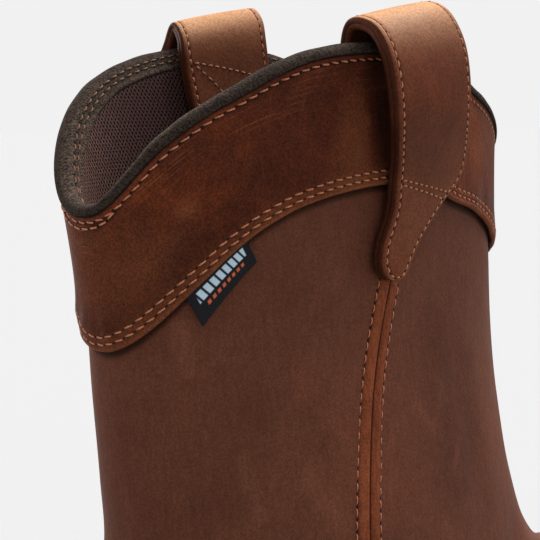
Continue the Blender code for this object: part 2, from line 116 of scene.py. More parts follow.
# Sections of the upper from the sole up, as distances from a base row; height is at the section's back
SECTION_COLUMNS = ("height", "back_x", "front_x", "front_z", "widest_x",
                   "half_width", "front_round", "back_round", "egg", "waist")
FOOT_BASE = (HEEL_HEIGHT, HEEL_BACK, TOE_TIP, 0, BALL_X, BALL_HALF, 0, 0, 0, 0)
FOOT_SECTIONS = (
    # feather edge on the sole, fullest line of the foot, shoulder and top of the toe
    (0, 3.5, -3.5, 31, 0, -2.5, 2.35, 2.7, 0, 0.24),
    (12, 0, 0, 43, 0, -0.5, 2.35, 2.7, 0, 0.22),
    (26, -0.5, -0.5, 57, -3, -1, 2.3, 2.6, 0, 0.19),
    (40, 0.5, -8, 70.5, -17, -3.5, 2.2, 2.5, 0, 0.13),
    (52, 2, -27, 79.5, -45, -7, 2.1, 2.4, 0, 0.08),
    # vamp
    (63, 4, -53, 87, -73, -9, 2, 2.3, 0, 0.04),
    (74, 5.5, -79, INSTEP_HEIGHT - 12.5, -92, -10, 1.95, 2.25, 0, 0.02),
    # instep and ankle
    (86, 6.5, -103, INSTEP_HEIGHT, -104, -10.5, 1.95, 2.2, 0, 0),
    (99, 7.5, -120, INSTEP_HEIGHT + 17, -109, -10.7, 2, 2.2, -0.02, 0),
    (115, 10.4, -132, INSTEP_HEIGHT + 39, SHAFT_X + 11 - BALL_X, -11.5, 2.1, 2.18, -0.05, 0),
)
SHAFT_BASE = (TOP, SHAFT_X, SHAFT_X, TOP, SHAFT_X, SHAFT_WIDTH / 2, 0, 0, 0, 0)
SHAFT_SECTIONS = (
    (-110, -63.5, TOE_TIP - 138 - SHAFT_X, -110, 9.5, 3.4, 2.18, 2.18, -0.08, 0),
    (-85, -65.9, 80.6, -85, 7.2, -0.2, 2.22, 2.18, -0.1, 0),
    (-55, -67.9, 79.6, -55, 4.9, -2.1, 2.25, 2.18, -0.11, 0),
    (-25, -73, 79, -25, 2.2, -2.3, 2.25, 2.18, -0.11, 0),
    (0, -SHAFT_LENGTH / 2, SHAFT_LENGTH / 2, 0, 0, 0, 2.25, 2.18, -0.11, 0),
)
SECTIONS = np.concatenate([np.add(FOOT_SECTIONS, FOOT_BASE), np.add(SHAFT_SECTIONS, SHAFT_BASE)])
SECTION = dict(zip(SECTION_COLUMNS, SECTIONS.T))
PLANE_FROM = HEEL_HEIGHT
PLANE_FULL = HEEL_HEIGHT + 72.0

# Top of the outsole along the foot: x, z
SOLE_TOP = (
    (HEEL_BACK, HEEL_HEIGHT), (-92, HEEL_HEIGHT - 0.5), (-62, HEEL_HEIGHT - 4),
    (-20, BALL_HEIGHT + 8), (20, BALL_HEIGHT + 1.6), (60, BALL_HEIGHT),
    (95, BALL_HEIGHT + 1.6), (125, BALL_HEIGHT + 5.8), (TOE_TIP, BALL_HEIGHT + TOE_SPRING),
)

# Rolled edge and its facing: distance out from the upper's face, rise from the leather's top
ROLL = (
    (2.15, 0), (2.6, 0.8), (2.3, 1.75), (1.2, 2.4), (-0.3, 2.45), (-1.3, 2), (-1.8, 1.25), (-2.05, 0.65),
    (-2.45, -0.2), (-2.6, -1.05), (-2.95, -1.9), (-3.35, -2.6), (-3.25, -3.2), (-2.75, -3.1), (-2.45, -1.8),
    (-2.3, -0.5), (0, -0.1),
)

# Small departures of the collar's and the panel's edges from their plain curves, by angle from the toe
TRIM_COLUMNS = ("degrees", "outer", "inner", "panel")
TRIM = (
    (0, 0, 0, 0), (48, 0, 0, 0), (54, -0.9, 0, -0.6), (62, -2.3, 0, -1.9), (70, -2.6, 0.1, -3.3),
    (80, -1.2, 1.1, -1.5), (90, -0.1, 2, 0), (102, -0.1, 2, 0), (110, -0.25, 1.45, 0), (118, -0.95, 1.35, 0),
    (126, -1.45, 1.55, 0), (136, -0.4, 1.75, -0.4), (142, 0.3, 1.85, -0.6), (149, 0.9, 1.5, -0.6),
    (160, 0, 0.7, -0.5), (168, -0.75, 0, -0.3), (180, -0.6, -0.6, -0.3),
)

# Pull straps by side (-1 outer, 1 inner), from the tail outside the boot over the collar to the leg inside it.
# half_width is told from half the strap's width; out falls by twist toward the front
STRAP_COLUMNS = ("rise", "out", "half_width", "forward", "tilt", "twist")
STRAP_BASE = (0, 0, STRAP_WIDTH / 2, 0, 0, 0)
OUTER_STRAP = (
    (-57, 2.9, -14.6, -3.4, 0, 0), (-56.6, 2.9, -12.8, -3.3, 0, 0), (-55.4, 2.9, -11, -3.1, 0, 0),
    (-52.5, 2.9, -9.2, -2.7, 0, 0), (-47, 3.1, -7.4, -0.1, 0, 0), (-39, 3.7, -4.8, 5.8, 0, 0),
    (-32, 4.4, -0.1, 10.3, 0, 0.02), (-25, 6.4, 1.2, 9.2, 0, 0.04), (-16, 10.5, 0.5, 3, 0.03, 0.04),
    (-7, 11.5, 0.3, -0.2, 0.08, 0.04), (1, 9.5, 0.3, -1, 0.13, 0.04), (7.1, 5, 0.4, -0.7, 0.17, 0.05),
    (9.3, 0, 0, -0.4, 0.19, 0.03), (8.3, -4.2, -0.3, 0.1, 0.18, 0.02), (2.8, -5.8, -0.3, 0.8, 0.14, 0.02),
    (-5, -5.8, -0.3, 1.4, 0.08, 0.02), (-16, -5.3, -0.3, 2.6, 0.03, 0), (-28, -4.9, -0.3, 3.6, 0, 0),
    (-33, -4.8, -3.8, 3.9, 0, 0),
)
INNER_STRAP = (
    (-57, 2.9, -14.6, 4.5, 0, 0), (-56.6, 2.9, -12.8, 4.6, 0, 0), (-55.4, 2.9, -11, 4.8, 0, 0),
    (-52.5, 2.9, -9.2, 5.2, 0, 0), (-47, 3.1, -7.4, 6.5, 0, 0), (-39, 3.7, -4.8, 8, 0, 0),
    (-32, 4.6, -0.8, 8, 0, 0.02), (-25, 7.4, 0, 6.4, 0, 0.04), (-16, 10.4, 0, 3.2, 0.03, 0.05),
    (-7, 9.8, -0.3, 1, 0.08, 0.05), (1, 6.4, -0.5, 0.2, 0.13, 0.05), (6.4, 3.2, -0.8, 0.2, 0.17, 0.05),
    (11.3, -0.3, -0.8, 0, 0.19, 0.03), (8, -4.2, -0.2, -0.9, 0.18, 0.02), (2.8, -5.8, 0, -1.8, 0.14, 0.02),
    (-5, -5.8, 0, -1.2, 0.08, 0.02), (-16, -5.5, 0.2, 0.7, 0.03, 0), (-28, -5.2, -0.4, 3, 0, 0),
    (-33, -5.1, -3.8, 3.4, 0, 0),
)
STRAP = {-1: np.add(OUTER_STRAP, STRAP_BASE), 1: np.add(INNER_STRAP, STRAP_BASE)}
STRAP_PLACE = {-1: SHAFT_X + 3.2, 1: SHAFT_X - 2.6}
STRAP_LIFT = {-1: 0.0, 1: 1.0}
# Bend of each strap made lighter, as pull-up wear and a painted highlight on its top: station, reach along it,
# tone; and a tone for the whole strap
STRAP_RIDGE = {-1: (11.9, 1.15, 0.9), 1: (12.2, 0.95, 0.78)}
STRAP_TONE = {-1: 0.0, 1: 0.04}
# Edge of a strap: distance in from its side, place through its thickness; two layers with a groove between
STRAP_EDGE = ((1.1, 1.6), (0.55, 1.52), (0.2, 1.3), (0.04, 0.95), (0, 0.5), (0.06, 0.16), (0.16, 0),
              (0.06, -0.16), (0, -0.6), (0.06, -1.05), (0.22, -1.36), (0.55, -1.54), (1.1, -1.6))
STRAP_STATIONS = 190
STRAP_CROWN = 0.3
ROW_INSETS = np.array([1.5, 1.75, 2.0, 2.25, 2.5, 3.0])
FACE_SHARES = np.linspace(-1.0, 1.0, 13)

# Side seam: height, place forward of the shaft's middle
SEAM = (
    (HEEL_HEIGHT, -17), (80, -16.4), (120, -15), (142, -13.4),
    (162, -12.4), (182, -9.4), (202, -4.4), (222, 2.6),
)
SEAM_FOOT = HEEL_HEIGHT + 6.0
SEAM_TOP = {side: COLLAR_HEIGHT + STRAP[side][1][0] - 1.0 for side in STRAP}
# Strip over the seam: place across it, rise from the upper's face, tone
SEAM_STRIP = np.array((
    (-3.9, 0.02, -0.5), (-3.6, 0.3, 0), (-2.8, 0.62, 0.1), (-1.6, 0.75, 0.05), (-0.5, 0.68, 0),
    (-0.2, 0.5, -0.5), (0, 0.05, -1), (0.2, 0.5, -0.5), (0.5, 0.62, -0.06), (1.6, 0.66, -0.08),
    (2.8, 0.55, -0.05), (3.6, 0.28, 0), (3.9, 0.02, -0.5), (2.4, -0.2, 0), (-2.4, -0.2, 0),
))

# Woven tag on the outer side, hanging from the panel's edge
TAG_ACROSS = 12.7
TAG_DROP = 5.7
TAG_HIDDEN = 1.1
TAG_TAPER = 0.24
TAG_LEAN = 3.0
TAG_CURL = 0.35
TAG_FORWARD = -50.5
TAG_THICK = 0.8

# Outsole's side: share of the way down, distance out
SIDE_STEPS = np.array(((0, 0), (0.24, 0.3), (0.28, -1.2), (0.4, -1.2), (0.44, 0.5), (0.72, 0.9), (1, 0.2)))
SIDE_CORNER = 0.012
SIDE_TOP_ROUND = 0.7
SIDE_FOOT_ROUND = 0.9
SOLE_COLUMNS = 224
FLAT_HEEL_END = -66.0
ARCH_END = 12.0
ARCH_RISE = 11.0
TOE_FLAT_END = 84.0
LUG_DEPTH = 5.5
LUG_GROOVE = 6.5
LUG_INNER = 13.0
LUG_SKEW_DEG = 18.0
LUG_PLACES = (-134, -114, -94, 24, 44, 64, 86, 108, 128)
# Insole's and welt's sections: distance out, rise; the welt also has a tone
BED_IN = -WALL - 0.9
BED_SECTION = ((BED_IN, 0), (BED_IN, INSOLE_THICK - 0.9), (BED_IN - 0.3, INSOLE_THICK - 0.25),
               (BED_IN - 1.1, INSOLE_THICK))
WELT_SECTION = (
    (WELT_REACH, GAP, -0.4), (WELT_REACH + 0.1, GAP + 0.5, -0.2), (WELT_REACH + 0.1, WELT_THICK - 0.6, 0),
    (WELT_REACH - 0.3, WELT_THICK + 0.1, 0.35), (WELT_REACH - 0.9, WELT_THICK + 0.28, 0.3),
    (3.4, WELT_THICK + 0.3, 0), (2.1, WELT_THICK + 0.2, -0.3),
    (1.5, WELT_THICK - 0.3, -0.8), (1.5, GAP, -0.8),
)

# Sewing: distances of the rows from the edges that they follow, and how each is sewn
PITCH = 3.25
THREAD = 0.23
EDGE_ROW = 2.0
PANEL_ROWS = (1.65, 3.35)
PANEL_SEWN = {"slant": -0.18}
COLLAR_ROW = 1.4
COLLAR_SEWN = {"pitch": 3.05, "share": 0.8, "slant": -0.2}
BACK_ROW = {"start": math.pi - 0.24, "stop": math.pi + 0.24, "count": 300}
BACK_DROP = 1.5
BACK_SEWN = {"slant": -0.12}
STRAP_SEWN = {"pitch": 2.45, "share": 0.66, "thread": 0.22}
# Facing's rows inside the collar: rise, distance out
FACING_ROWS = ((0.5, -2.15), (-0.95, -2.6))
FACING_SEWN = {"thread": 0.22, "share": 0.6}
SEAM_STITCH = 4.1
SEAM_SEWN = {"thread": 0.18, "share": 0.7}
WELT_ROW = 4.1
WELT_SEWN = {"pitch": 5.2, "thread": 0.45}
# Straight rows over a strap, each from one station and place across to another: two where the panel's edge
# passes under it, and a crossed box on the leg inside the boot
STRAP_ROWS = (
    (6.17, -14, 5.45, 10.2), (5.97, -13.2, 5.2, 9.2),
    (14.5, -13, 15.2, 13), (14.6, -12.6, 17.2, 12.4), (15.3, 12.6, 17.2, -12.4), (17.3, -12, 17.3, 12),
)


def blend(xs, ys, at):
    """Smooth curve through a table's rows, straight beyond its ends."""
    xs = np.asarray(xs, float)
    ys = np.asarray(ys, float)
    at = np.asarray(at, float)
    slope = np.gradient(ys, xs)
    i = np.clip(np.searchsorted(xs, at) - 1, 0, len(xs) - 2)
    span = xs[i + 1] - xs[i]
    t = np.clip((at - xs[i]) / span, 0.0, 1.0)
    beyond = at - (xs[i] + t * span)
    value = ((1 + 2 * t) * (1 - t) ** 2 * ys[i] + t * (1 - t) ** 2 * span * slope[i]
             + t * t * (3 - 2 * t) * ys[i + 1] + t * t * (t - 1) * span * slope[i + 1])
    return value + beyond * np.where(t < 0.5, slope[i], slope[i + 1])


def follow(table, at, column=1):
    """A column of a table as a smooth curve over its first column."""
    table = np.array(table, float)
    return blend(table[:, 0], table[:, column], at)


def smooth_step(low, high, at):
    """Goes smoothly from 0 at low to 1 at high."""
    t = np.clip((at - low) / (high - low), 0.0, 1.0)
    return t * t * (3 - 2 * t)


def bell(at, middle, reach):
    """1 at the middle, falling to nothing a few reaches away."""
    return np.exp(-((at - middle) / reach) ** 2)


def unit(v):
    """The same directions with a length of 1."""
    return v / np.maximum(np.linalg.norm(v, axis=-1, keepdims=True), 1e-9)


def lengths(points):
    """Distance along a line of points, from its start."""
    return np.append(0.0, np.cumsum(np.linalg.norm(np.diff(points, axis=0), axis=-1)))


def turn(count):
    """Angles of a whole turn."""
    return np.arange(count) * 2 * math.pi / count


def sole_top(x):
    """Height of the outsole's upper face along the foot."""
    return follow(SOLE_TOP, x)


def upper_face(phi, height):
    """Outer face of the upper: phi is 0 at the toe and -90 degrees at the middle of the outer side."""
    phi, height = np.broadcast_arrays(np.asarray(phi, float), np.asarray(height, float))
    row = {name: blend(SECTION["height"], SECTION[name], height) for name in SECTION_COLUMNS[1:]}
    c = np.cos(phi)
    s = np.sin(phi)
    inner = s > 0
    foot = np.clip((PLANE_FULL - height) / (PLANE_FULL - PLANE_FROM), 0.0, 1.0)
    widest = row["widest_x"] + np.where(inner, BALL_SLANT, -BALL_SLANT) * foot
    reach = np.where(c > 0, row["front_x"] - widest, widest - row["back_x"])
    power = 2.0 / np.where(c > 0, row["front_round"], row["back_round"])
    along = np.sign(c) * np.abs(c) ** power
    x = widest + reach * along
    y = row["half_width"] * np.sign(s) * np.abs(s) ** power * (1 + row["egg"] * along)
    waist = row["waist"] * np.where(inner, 1.0, WAIST_OUTER_SHARE)
    y = y * (1 - waist * bell(x, WAIST_X, WAIST_REACH))
    y = y + TOE_SWING * np.clip((x - BALL_X) / (TOE_TIP - BALL_X), 0.0, 1.0) ** 2 + FOOT_SHIFT * foot
    share = (x - row["back_x"]) / (row["front_x"] - row["back_x"])
    plane = height + (row["front_z"] - height) * share
    lifted = height - HEEL_HEIGHT + sole_top(x)
    mix = smooth_step(PLANE_FROM, PLANE_FULL, height)
    return np.stack([x, y, lifted * (1 - mix) + plane * mix], axis=-1)


def upper_normal(phi, height):
    """Outward direction of the upper's outer face."""
    dphi = 0.02
    dh = 0.6
    around = upper_face(phi + dphi, height) - upper_face(phi - dphi, height)
    rising = upper_face(phi, height + dh) - upper_face(phi, height - dh)
    return unit(np.cross(around, rising))


def off_upper(phi, height, out):
    """A point a distance out from the upper's outer face."""
    return upper_face(phi, height) + upper_normal(phi, height) * np.asarray(out, float)[..., None]


def collar_curve(phi):
    """Plain curve of the collar, high at the sides, low at the back and front."""
    t = np.cos(phi)
    back = np.clip((PEAK_FORWARD - t) / (1 + PEAK_FORWARD), 0.0, 1.0)
    front = np.clip((t - PEAK_FORWARD) / (1 - PEAK_FORWARD), 0.0, 1.0)
    return COLLAR_HEIGHT - BACK_DIP * back ** BACK_DIP_POWER - FRONT_DIP * front ** FRONT_DIP_POWER


def trimmed(phi, name):
    """A column of the trim table at an angle, for either side."""
    return follow(TRIM, np.degrees(np.arccos(np.cos(phi))), TRIM_COLUMNS.index(name))


def collar(phi):
    """Height of the leather's top edge."""
    return collar_curve(phi) + np.where(np.sin(phi) < 0, trimmed(phi, "outer"), trimmed(phi, "inner"))


def panel_edge_line(phi):
    """Height of the panel's lower edge."""
    return collar_curve(phi) - PANEL_HEIGHT + trimmed(phi, "panel")


def angle_at(x, height, side):
    """The angle at which the upper's face is at x, on the outer (-1) or inner (1) side."""
    x, height = np.broadcast_arrays(np.asarray(x, float), np.asarray(height, float))
    low = np.zeros(x.shape)
    high = np.full(x.shape, math.pi)
    for _ in range(34):
        middle = (low + high) / 2
        ahead = upper_face(side * middle, height)[..., 0] > x
        low = np.where(ahead, middle, low)
        high = np.where(ahead, high, middle)
    return side * (low + high) / 2


def beside(phi, height, distance):
    """Surface places a distance above a line that runs round the upper, square to the line."""
    dphi = 0.004
    dh = 0.25
    around = (upper_face(phi + dphi, height) - upper_face(phi - dphi, height)) / (2 * dphi)
    rising = (upper_face(phi, height + dh) - upper_face(phi, height - dh)) / (2 * dh)
    along = unit(around + rising * np.gradient(height, phi)[..., None])
    up = unit(np.cross(np.cross(around, rising), along))
    aa = (around * around).sum(-1)
    bb = (rising * rising).sum(-1)
    ab = (around * rising).sum(-1)
    ua = (up * around).sum(-1)
    ub = (up * rising).sum(-1)
    step = distance / (aa * bb - ab * ab)
    return phi + step * (ua * bb - ub * ab), height + step * (ub * aa - ua * ab)


def full_turn(phi):
    """The ring's angles with one more on each end, so that slopes at the join are right."""
    return np.concatenate([phi[-1:] - 2 * math.pi, phi, phi[:1] + 2 * math.pi])


def above(phi, line, distance):
    """beside() for a whole ring."""
    wide = full_turn(phi)
    distance = np.broadcast_to(distance, phi.shape)
    p, h = beside(wide, line(wide), np.concatenate([distance[-1:], distance, distance[:1]]))
    return p[1:-1], h[1:-1]


# Camera
azimuth, elevation, roll = np.radians((CAMERA_AZIMUTH_DEG, CAMERA_ELEVATION_DEG, CAMERA_ROLL_DEG)).tolist()
level = math.cos(elevation)
back = Vector((-math.sin(azimuth) * level, -math.cos(azimuth) * level, math.sin(elevation)))
right = Vector((0, 0, 1)).cross(back).normalized()
up = back.cross(right)
stand = Vector((SHAFT_X, 0, TOP)) + right * CAMERA_SIDE + up * CAMERA_RISE + back * CAMERA_DISTANCE
turned = Matrix((right * math.cos(roll) + up * math.sin(roll),
                 up * math.cos(roll) - right * math.sin(roll), back)).transposed().to_4x4()
turned.translation = stand * MM
lens = bpy.data.cameras.new("camera")
lens.sensor_width = SENSOR
lens.lens = CAMERA_FOCAL * SENSOR / PICTURE
lens.clip_start = 0.01
camera = bpy.data.objects.new("camera", lens)
camera.matrix_world = turned
bpy.context.scene.collection.objects.link(camera)
bpy.context.scene.camera = camera


class Piece:
    """Points, faces, UV corners and point values gathered for one mesh."""

    def __init__(self):
        self.points = []
        self.faces = []
        self.uv = []
        self.values = []
        self.count = 0

    def grid(self, points, uv, values=0.0, wrap=False, close=False, flip=False):
        """A grid of points by row and column; uv has one more column or row where it wraps or closes."""
        rows, columns = points.shape[:2]
        i, j = np.meshgrid(np.arange(rows if close else rows - 1),
                           np.arange(columns if wrap else columns - 1), indexing="ij")
        i = i.ravel()
        j = j.ravel()
        corners = [(i, j), (i, j + 1), (i + 1, j + 1), (i + 1, j)]
        if flip:
            corners = corners[::-1]
        first = self.count
        numbers = [first + (a % rows) * columns + b % columns for a, b in corners]
        self.faces.extend(np.stack(numbers, axis=1).tolist())
        self.uv.append(np.stack([uv[a, b] for a, b in corners], axis=1).reshape(-1, 2))
        self.points.append(points.reshape(-1, 3))
        self.values.append(np.broadcast_to(np.asarray(values, float), (rows, columns)).ravel())
        self.count += rows * columns
        return first

    def cap(self, numbers, flip=False):
        """One face over a closed row of points."""
        numbers = list(numbers)
        self.faces.append(numbers[::-1] if flip else numbers)
        self.uv.append(np.zeros((len(numbers), 2)))

    def tube(self, points, uv, values=0.0, flip=False):
        """A wrapped grid with both its ends closed."""
        first = self.grid(points, uv, values, wrap=True, flip=flip)
        columns = points.shape[1]
        self.cap(range(first, first + columns), not flip)
        self.cap(range(self.count - columns, self.count), flip)

    def make(self, name, paint, slot, node=None):
        """The finished object, riding on the one body; it stands for a CAD node where one is named."""
        mesh = bpy.data.meshes.new(name)
        mesh.from_pydata((np.concatenate(self.points) * MM).tolist(), [], self.faces)
        layer = mesh.uv_layers.new(name="mm")
        layer.data.foreach_set("uv", np.concatenate(self.uv).astype(np.float32).ravel())
        marks = mesh.attributes.new("wear_and_light", "FLOAT", "POINT")
        marks.data.foreach_set("value", np.concatenate(self.values).astype(np.float32))
        mesh.polygons.foreach_set("use_smooth", np.full(len(mesh.polygons), True))
        mesh.materials.append(paint)
        mesh.update()
        made = bpy.data.objects.new(name, mesh)
        bpy.context.scene.collection.objects.link(made)
        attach(made, "root")
        if node:
            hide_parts(node)
        return made


def round_uv(points, heights):
    """UV in millimetres for rings of points: distance round a middle ring, and the section's own length."""
    ring = points[len(points) // 4]
    u = lengths(np.concatenate([ring, ring[:1]]))
    return np.stack(np.broadcast_arrays(u[None, :], heights[:, None]), axis=-1)


def skin(name, rings, marks, last_step, paint, slot, node):
    """A closed skin from rings round the boot; last_step is the way from the last ring to the first."""
    grid = np.array(rings)
    heights = lengths(grid[:, 0])
    uv = round_uv(np.concatenate([grid, grid[:1]]), np.append(heights, heights[-1] + last_step))
    made = Piece()
    made.grid(grid, uv, marks, wrap=True, close=True)
    return made.make(name, paint, slot, node)


class Signal:
    """An output of a material's node, for use in sums and products."""

    def __init__(self, paint, socket):
        self.paint = paint
        self.socket = socket

    def __add__(self, other):
        return self.paint.math("ADD", self, other)

    def __sub__(self, other):
        return self.paint.math("SUBTRACT", self, other)

    def __mul__(self, other):
        return self.paint.math("MULTIPLY", self, other)

    def __truediv__(self, other):
        return self.paint.math("DIVIDE", self, other)


class Paint:
    """Short calls for one material's nodes."""

    def __init__(self, name, roughness, **sockets):
        self.made = bpy.data.materials.new(name)
        self.made.use_nodes = True
        self.tree = self.made.node_tree
        self.shader = self.tree.nodes["Principled BSDF"]
        self.set("Roughness", roughness)
        for key, value in sockets.items():
            self.set(key.replace("_", " "), value)
        self.place = self.put("TexCoord", "Object")

    def put(self, kind, output, inputs=None, **settings):
        """A new node; gives one of its outputs."""
        node = self.tree.nodes.new("ShaderNode" + kind)
        for key, value in settings.items():
            setattr(node, key, value)
        for key, value in (inputs or {}).items():
            self.feed(node.inputs[key], value)
        return Signal(self, node.outputs[output])

    def feed(self, socket, value):
        if isinstance(value, Signal):
            self.tree.links.new(value.socket, socket)
        elif socket.type == "RGBA":
            socket.default_value = (*value, 1.0)
        else:
            socket.default_value = value

    def set(self, name, value):
        self.feed(self.shader.inputs[name], value)

    def math(self, operation, a, b=0.0, clamp=False):
        return self.put("Math", 0, {0: a, 1: b}, operation=operation, use_clamp=clamp)

    def noise(self, scale, detail=3.0, rough=0.55, stretch=None, warp=0.0):
        where = self.place
        if stretch:
            where = self.put("Mapping", 0, {"Vector": where, "Scale": stretch})
        return self.put("TexNoise", "Fac", {"Vector": where, "Scale": scale, "Detail": detail,
                                            "Roughness": rough, "Distortion": warp})

    def span(self, value, low, high, to_low=0.0, to_high=1.0):
        """A value's range mapped to another, smoothly and clamped."""
        limits = {"Value": value, "From Min": low, "From Max": high, "To Min": to_low, "To Max": to_high}
        return self.put("MapRange", "Result", limits, interpolation_type="SMOOTHSTEP")

    def mix(self, share, a, b, blend_type="MIX"):
        return self.put("Mix", 2, {0: share, 6: a, 7: b}, data_type="RGBA", blend_type=blend_type)

    def vary(self, base, value, low, high, amount):
        """A colour made darker and lighter by an amount."""
        return self.mix(1.0, base, self.span(value, low, high, 1 - amount, 1 + amount), "MULTIPLY")

    def mark(self):
        """What the mesh says of each point: worn places and painted light above 0, cut edges, joints and
        painted shade below 0.
        """
        return self.put("Attribute", "Fac", attribute_name="wear_and_light")

    def joint_and_shade(self, mark):
        return self.math("MULTIPLY", self.math("MINIMUM", mark, 0.0), -1.0, clamp=True)

    def uv(self):
        return self.put("UVMap", 0, uv_map="mm")

    def flat(self):
        """The two UV distances, in millimetres."""
        split = self.put("SeparateXYZ", 0, {0: self.uv()})
        return split, Signal(self, split.socket.node.outputs[1])

    def bump(self, height, strength, distance, under=None):
        inputs = {"Height": height, "Strength": strength, "Distance": distance}
        if under:
            inputs["Normal"] = under
        return self.put("Bump", 0, inputs)


def leather(name, deep, body, rust, worn_and_lit_tone, dark, roughness, patch=0.3, grain=0.3, wrinkle=0.0, lines=None):
    """Oiled leather: mottled, lighter where worn and where a highlight is painted, darker at cut edges, at
    joints and where shade is painted; lines are fine scratches.
    """
    p = Paint(name, roughness, Specular_IOR_Level=0.02, Specular_Tint=(1.0, 0.8, 0.66))
    broad = p.noise(19.0, warp=0.4)
    cloud = p.noise(62.0, 5.0, 0.6, warp=0.3)
    mottle = p.noise(190.0, 5.0, 0.68, warp=0.5)
    streak = p.noise(260.0, 3.0, 0.6, stretch=(1.0, 1.0, 0.14))
    base = p.mix(p.span(broad * 0.45 + cloud * 0.55, 0.3, 0.68), deep, body)
    base = p.mix(p.span(p.noise(37.0, 4.0, warp=0.6), 0.48, 0.72) * patch, base, rust)
    base = p.mix(p.span(streak, 0.52, 0.8) * 0.3, base, rust)
    base = p.mix(p.span(mottle, 0.54, 0.3) * 0.35, base, deep)
    base = p.mix(p.span(mottle, 0.52, 0.8) * 0.25, base, rust)
    if lines:
        strength, low, high = lines
        drawn = p.put("Mapping", 0, {"Vector": p.uv(), "Scale": (0.05, 2.6, 1.0)})
        scratch = p.put("TexNoise", "Fac", {"Vector": drawn, "Scale": 1.0, "Detail": 2.0})
        height = p.flat()[1]
        band = p.span(height, low - 2.0, low + 2.0) * p.span(height, high + 1.0, high - 1.0)
        scratch = p.span(scratch, 0.54, 0.7) * (band * p.span(cloud, 0.4, 0.6))
        base = p.mix(scratch * strength, base, worn_and_lit_tone)
    mark = p.mark()
    worn_and_lit = p.math("MULTIPLY", p.math("MAXIMUM", mark, 0.0), p.span(cloud, 0.1, 0.6, 0.7, 1.0), clamp=True)
    base = p.mix(worn_and_lit, base, worn_and_lit_tone)
    base = p.mix(p.joint_and_shade(mark), base, dark)
    base = p.vary(base, p.noise(1900.0, 3.0, 0.7) * 0.85 + p.noise(820.0, 4.0, 0.7) * 0.15, 0.37, 0.63, grain)
    if wrinkle:
        folds = p.noise(900.0, 2.0, 0.5, stretch=(1.0, 1.0, 0.22), warp=0.3)
        base = p.vary(base, folds, 0.36, 0.64, wrinkle)
    p.set("Base Color", base)
    p.set("Roughness", p.span(cloud, 0.25, 0.75, roughness - 0.06, roughness + 0.08))
    cells = p.put("TexVoronoi", "Distance", {"Vector": p.place, "Scale": 1050.0}, feature="SMOOTH_F1")
    low = p.bump(p.noise(150.0, 4.0, 0.6), 0.4, 0.0006)
    p.set("Normal", p.bump(cells * 0.6 + p.noise(2300.0, 2.0, 0.6) * 0.5, 0.5, 0.00016, low))
    return p.made


def felt(name, deep, light, lit_tone, dark, fuzz):
    """Napped edging: short fibres over slanting ribs, lighter where light is painted, darker where shade is
    painted.
    """
    p = Paint(name, 0.95, Specular_IOR_Level=0.05)
    hair = p.noise(1700.0, 4.0, 0.75, warp=0.8)
    cloud = p.noise(260.0, 4.0, 0.65)
    u, v = p.flat()
    rib = p.math("SINE", (u + v * 0.55 + cloud * 0.9) * (2 * math.pi / 0.95))
    mark = p.mark()
    lit_felt = p.mix(p.math("MAXIMUM", mark, 0.0), light, lit_tone)
    base = p.mix(p.span(hair * 0.85 + cloud * 0.15 + rib * 0.02, 0.39, 0.63), deep, lit_felt)
    p.set("Base Color", p.mix(p.joint_and_shade(mark), base, dark))
    p.set("Normal", p.bump(hair + rib * 0.06, 0.8, fuzz))
    return p.made


def knit(name, hole, deep, yarn_tone, lit, across=1.4, rise=0.92):
    """Lining cloth: staggered rows of small holes between raised yarns."""
    p = Paint(name, 0.95, Specular_IOR_Level=0.04)
    u, v = p.flat()
    row = v / rise
    odd = p.math("MODULO", p.math("FLOOR", row), 2.0) * 0.5
    aside = (p.math("FRACT", u / across + odd) - 0.5) * (across * 1.2)
    upward = (p.math("FRACT", row) - 0.5) * (rise * 0.8)
    yarn = p.span(p.math("SQRT", aside * aside + upward * upward), 0.14, 0.5)
    fibre = p.noise(2600.0, 3.0, 0.7)
    tone = p.mix(p.span(fibre, 0.3, 0.7), deep, p.mix(p.mark(), yarn_tone, lit))
    p.set("Base Color", p.mix(yarn, hole, tone))
    p.set("Normal", p.bump(yarn + fibre * 0.3, 0.9, 0.0004))
    return p.made


def cotton(name, tone, dark):
    """Sewing thread with a lay of fine fibres."""
    p = Paint(name, 0.62, Specular_IOR_Level=0.15)
    fibre = p.noise(2400.0, 2.0, 0.7)
    # The mark shades each stitch from its dark end to its lit end: painted shade and light.
    p.set("Base Color", p.mix(p.span(fibre, 0.3, 0.7) * 0.4 + p.mark() * 0.6, dark, tone))
    p.set("Normal", p.bump(fibre, 0.4, 0.0001))
    return p.made


def plain(name, tone, second, roughness, scale, bump):
    """A dull material with a little grain."""
    p = Paint(name, roughness, Specular_IOR_Level=0.2)
    speck = p.noise(scale, 4.0, 0.65)
    p.set("Base Color", p.mix(p.span(speck, 0.35, 0.7), tone, second))
    p.set("Normal", p.bump(speck, 0.5, bump))
    return p.made


def woven(name, black, grey, pale_tone, warm_tone):
    """Tag cloth: a fine black weave with a pale barred stripe and a thin warm one."""
    p = Paint(name, 0.75, Specular_IOR_Level=0.12)
    u, v = p.flat()

    def within(value, low, high, soft=0.12):
        return p.span(value, low - soft, low + soft) * p.span(value, high + soft, high - soft)

    bars = p.math("FRACT", (u + v * 0.3) / 1.3)
    pale = within(v, 2.75, 4.55) * within(u, 1.3, 11.4) * within(bars, 0.16, 0.86, 0.09)
    dashes = p.math("FRACT", u / 1.06)
    warm = within(v, 1.45, 2.1) * within(u, 2.3, 10.4) * within(dashes, 0.24, 0.8, 0.1)
    weft = p.math("SINE", v * (2 * math.pi / 0.26))
    warp = p.math("SINE", u * (2 * math.pi / 0.3))
    cross = weft * warp
    tone = p.mix(p.span(cross, -1.0, 1.0), black, grey)
    p.set("Base Color", p.mix(warm, p.mix(pale, tone, pale_tone), warm_tone))
    p.set("Normal", p.bump(cross + (pale + warm), 0.5, 0.00012))
    return p.made
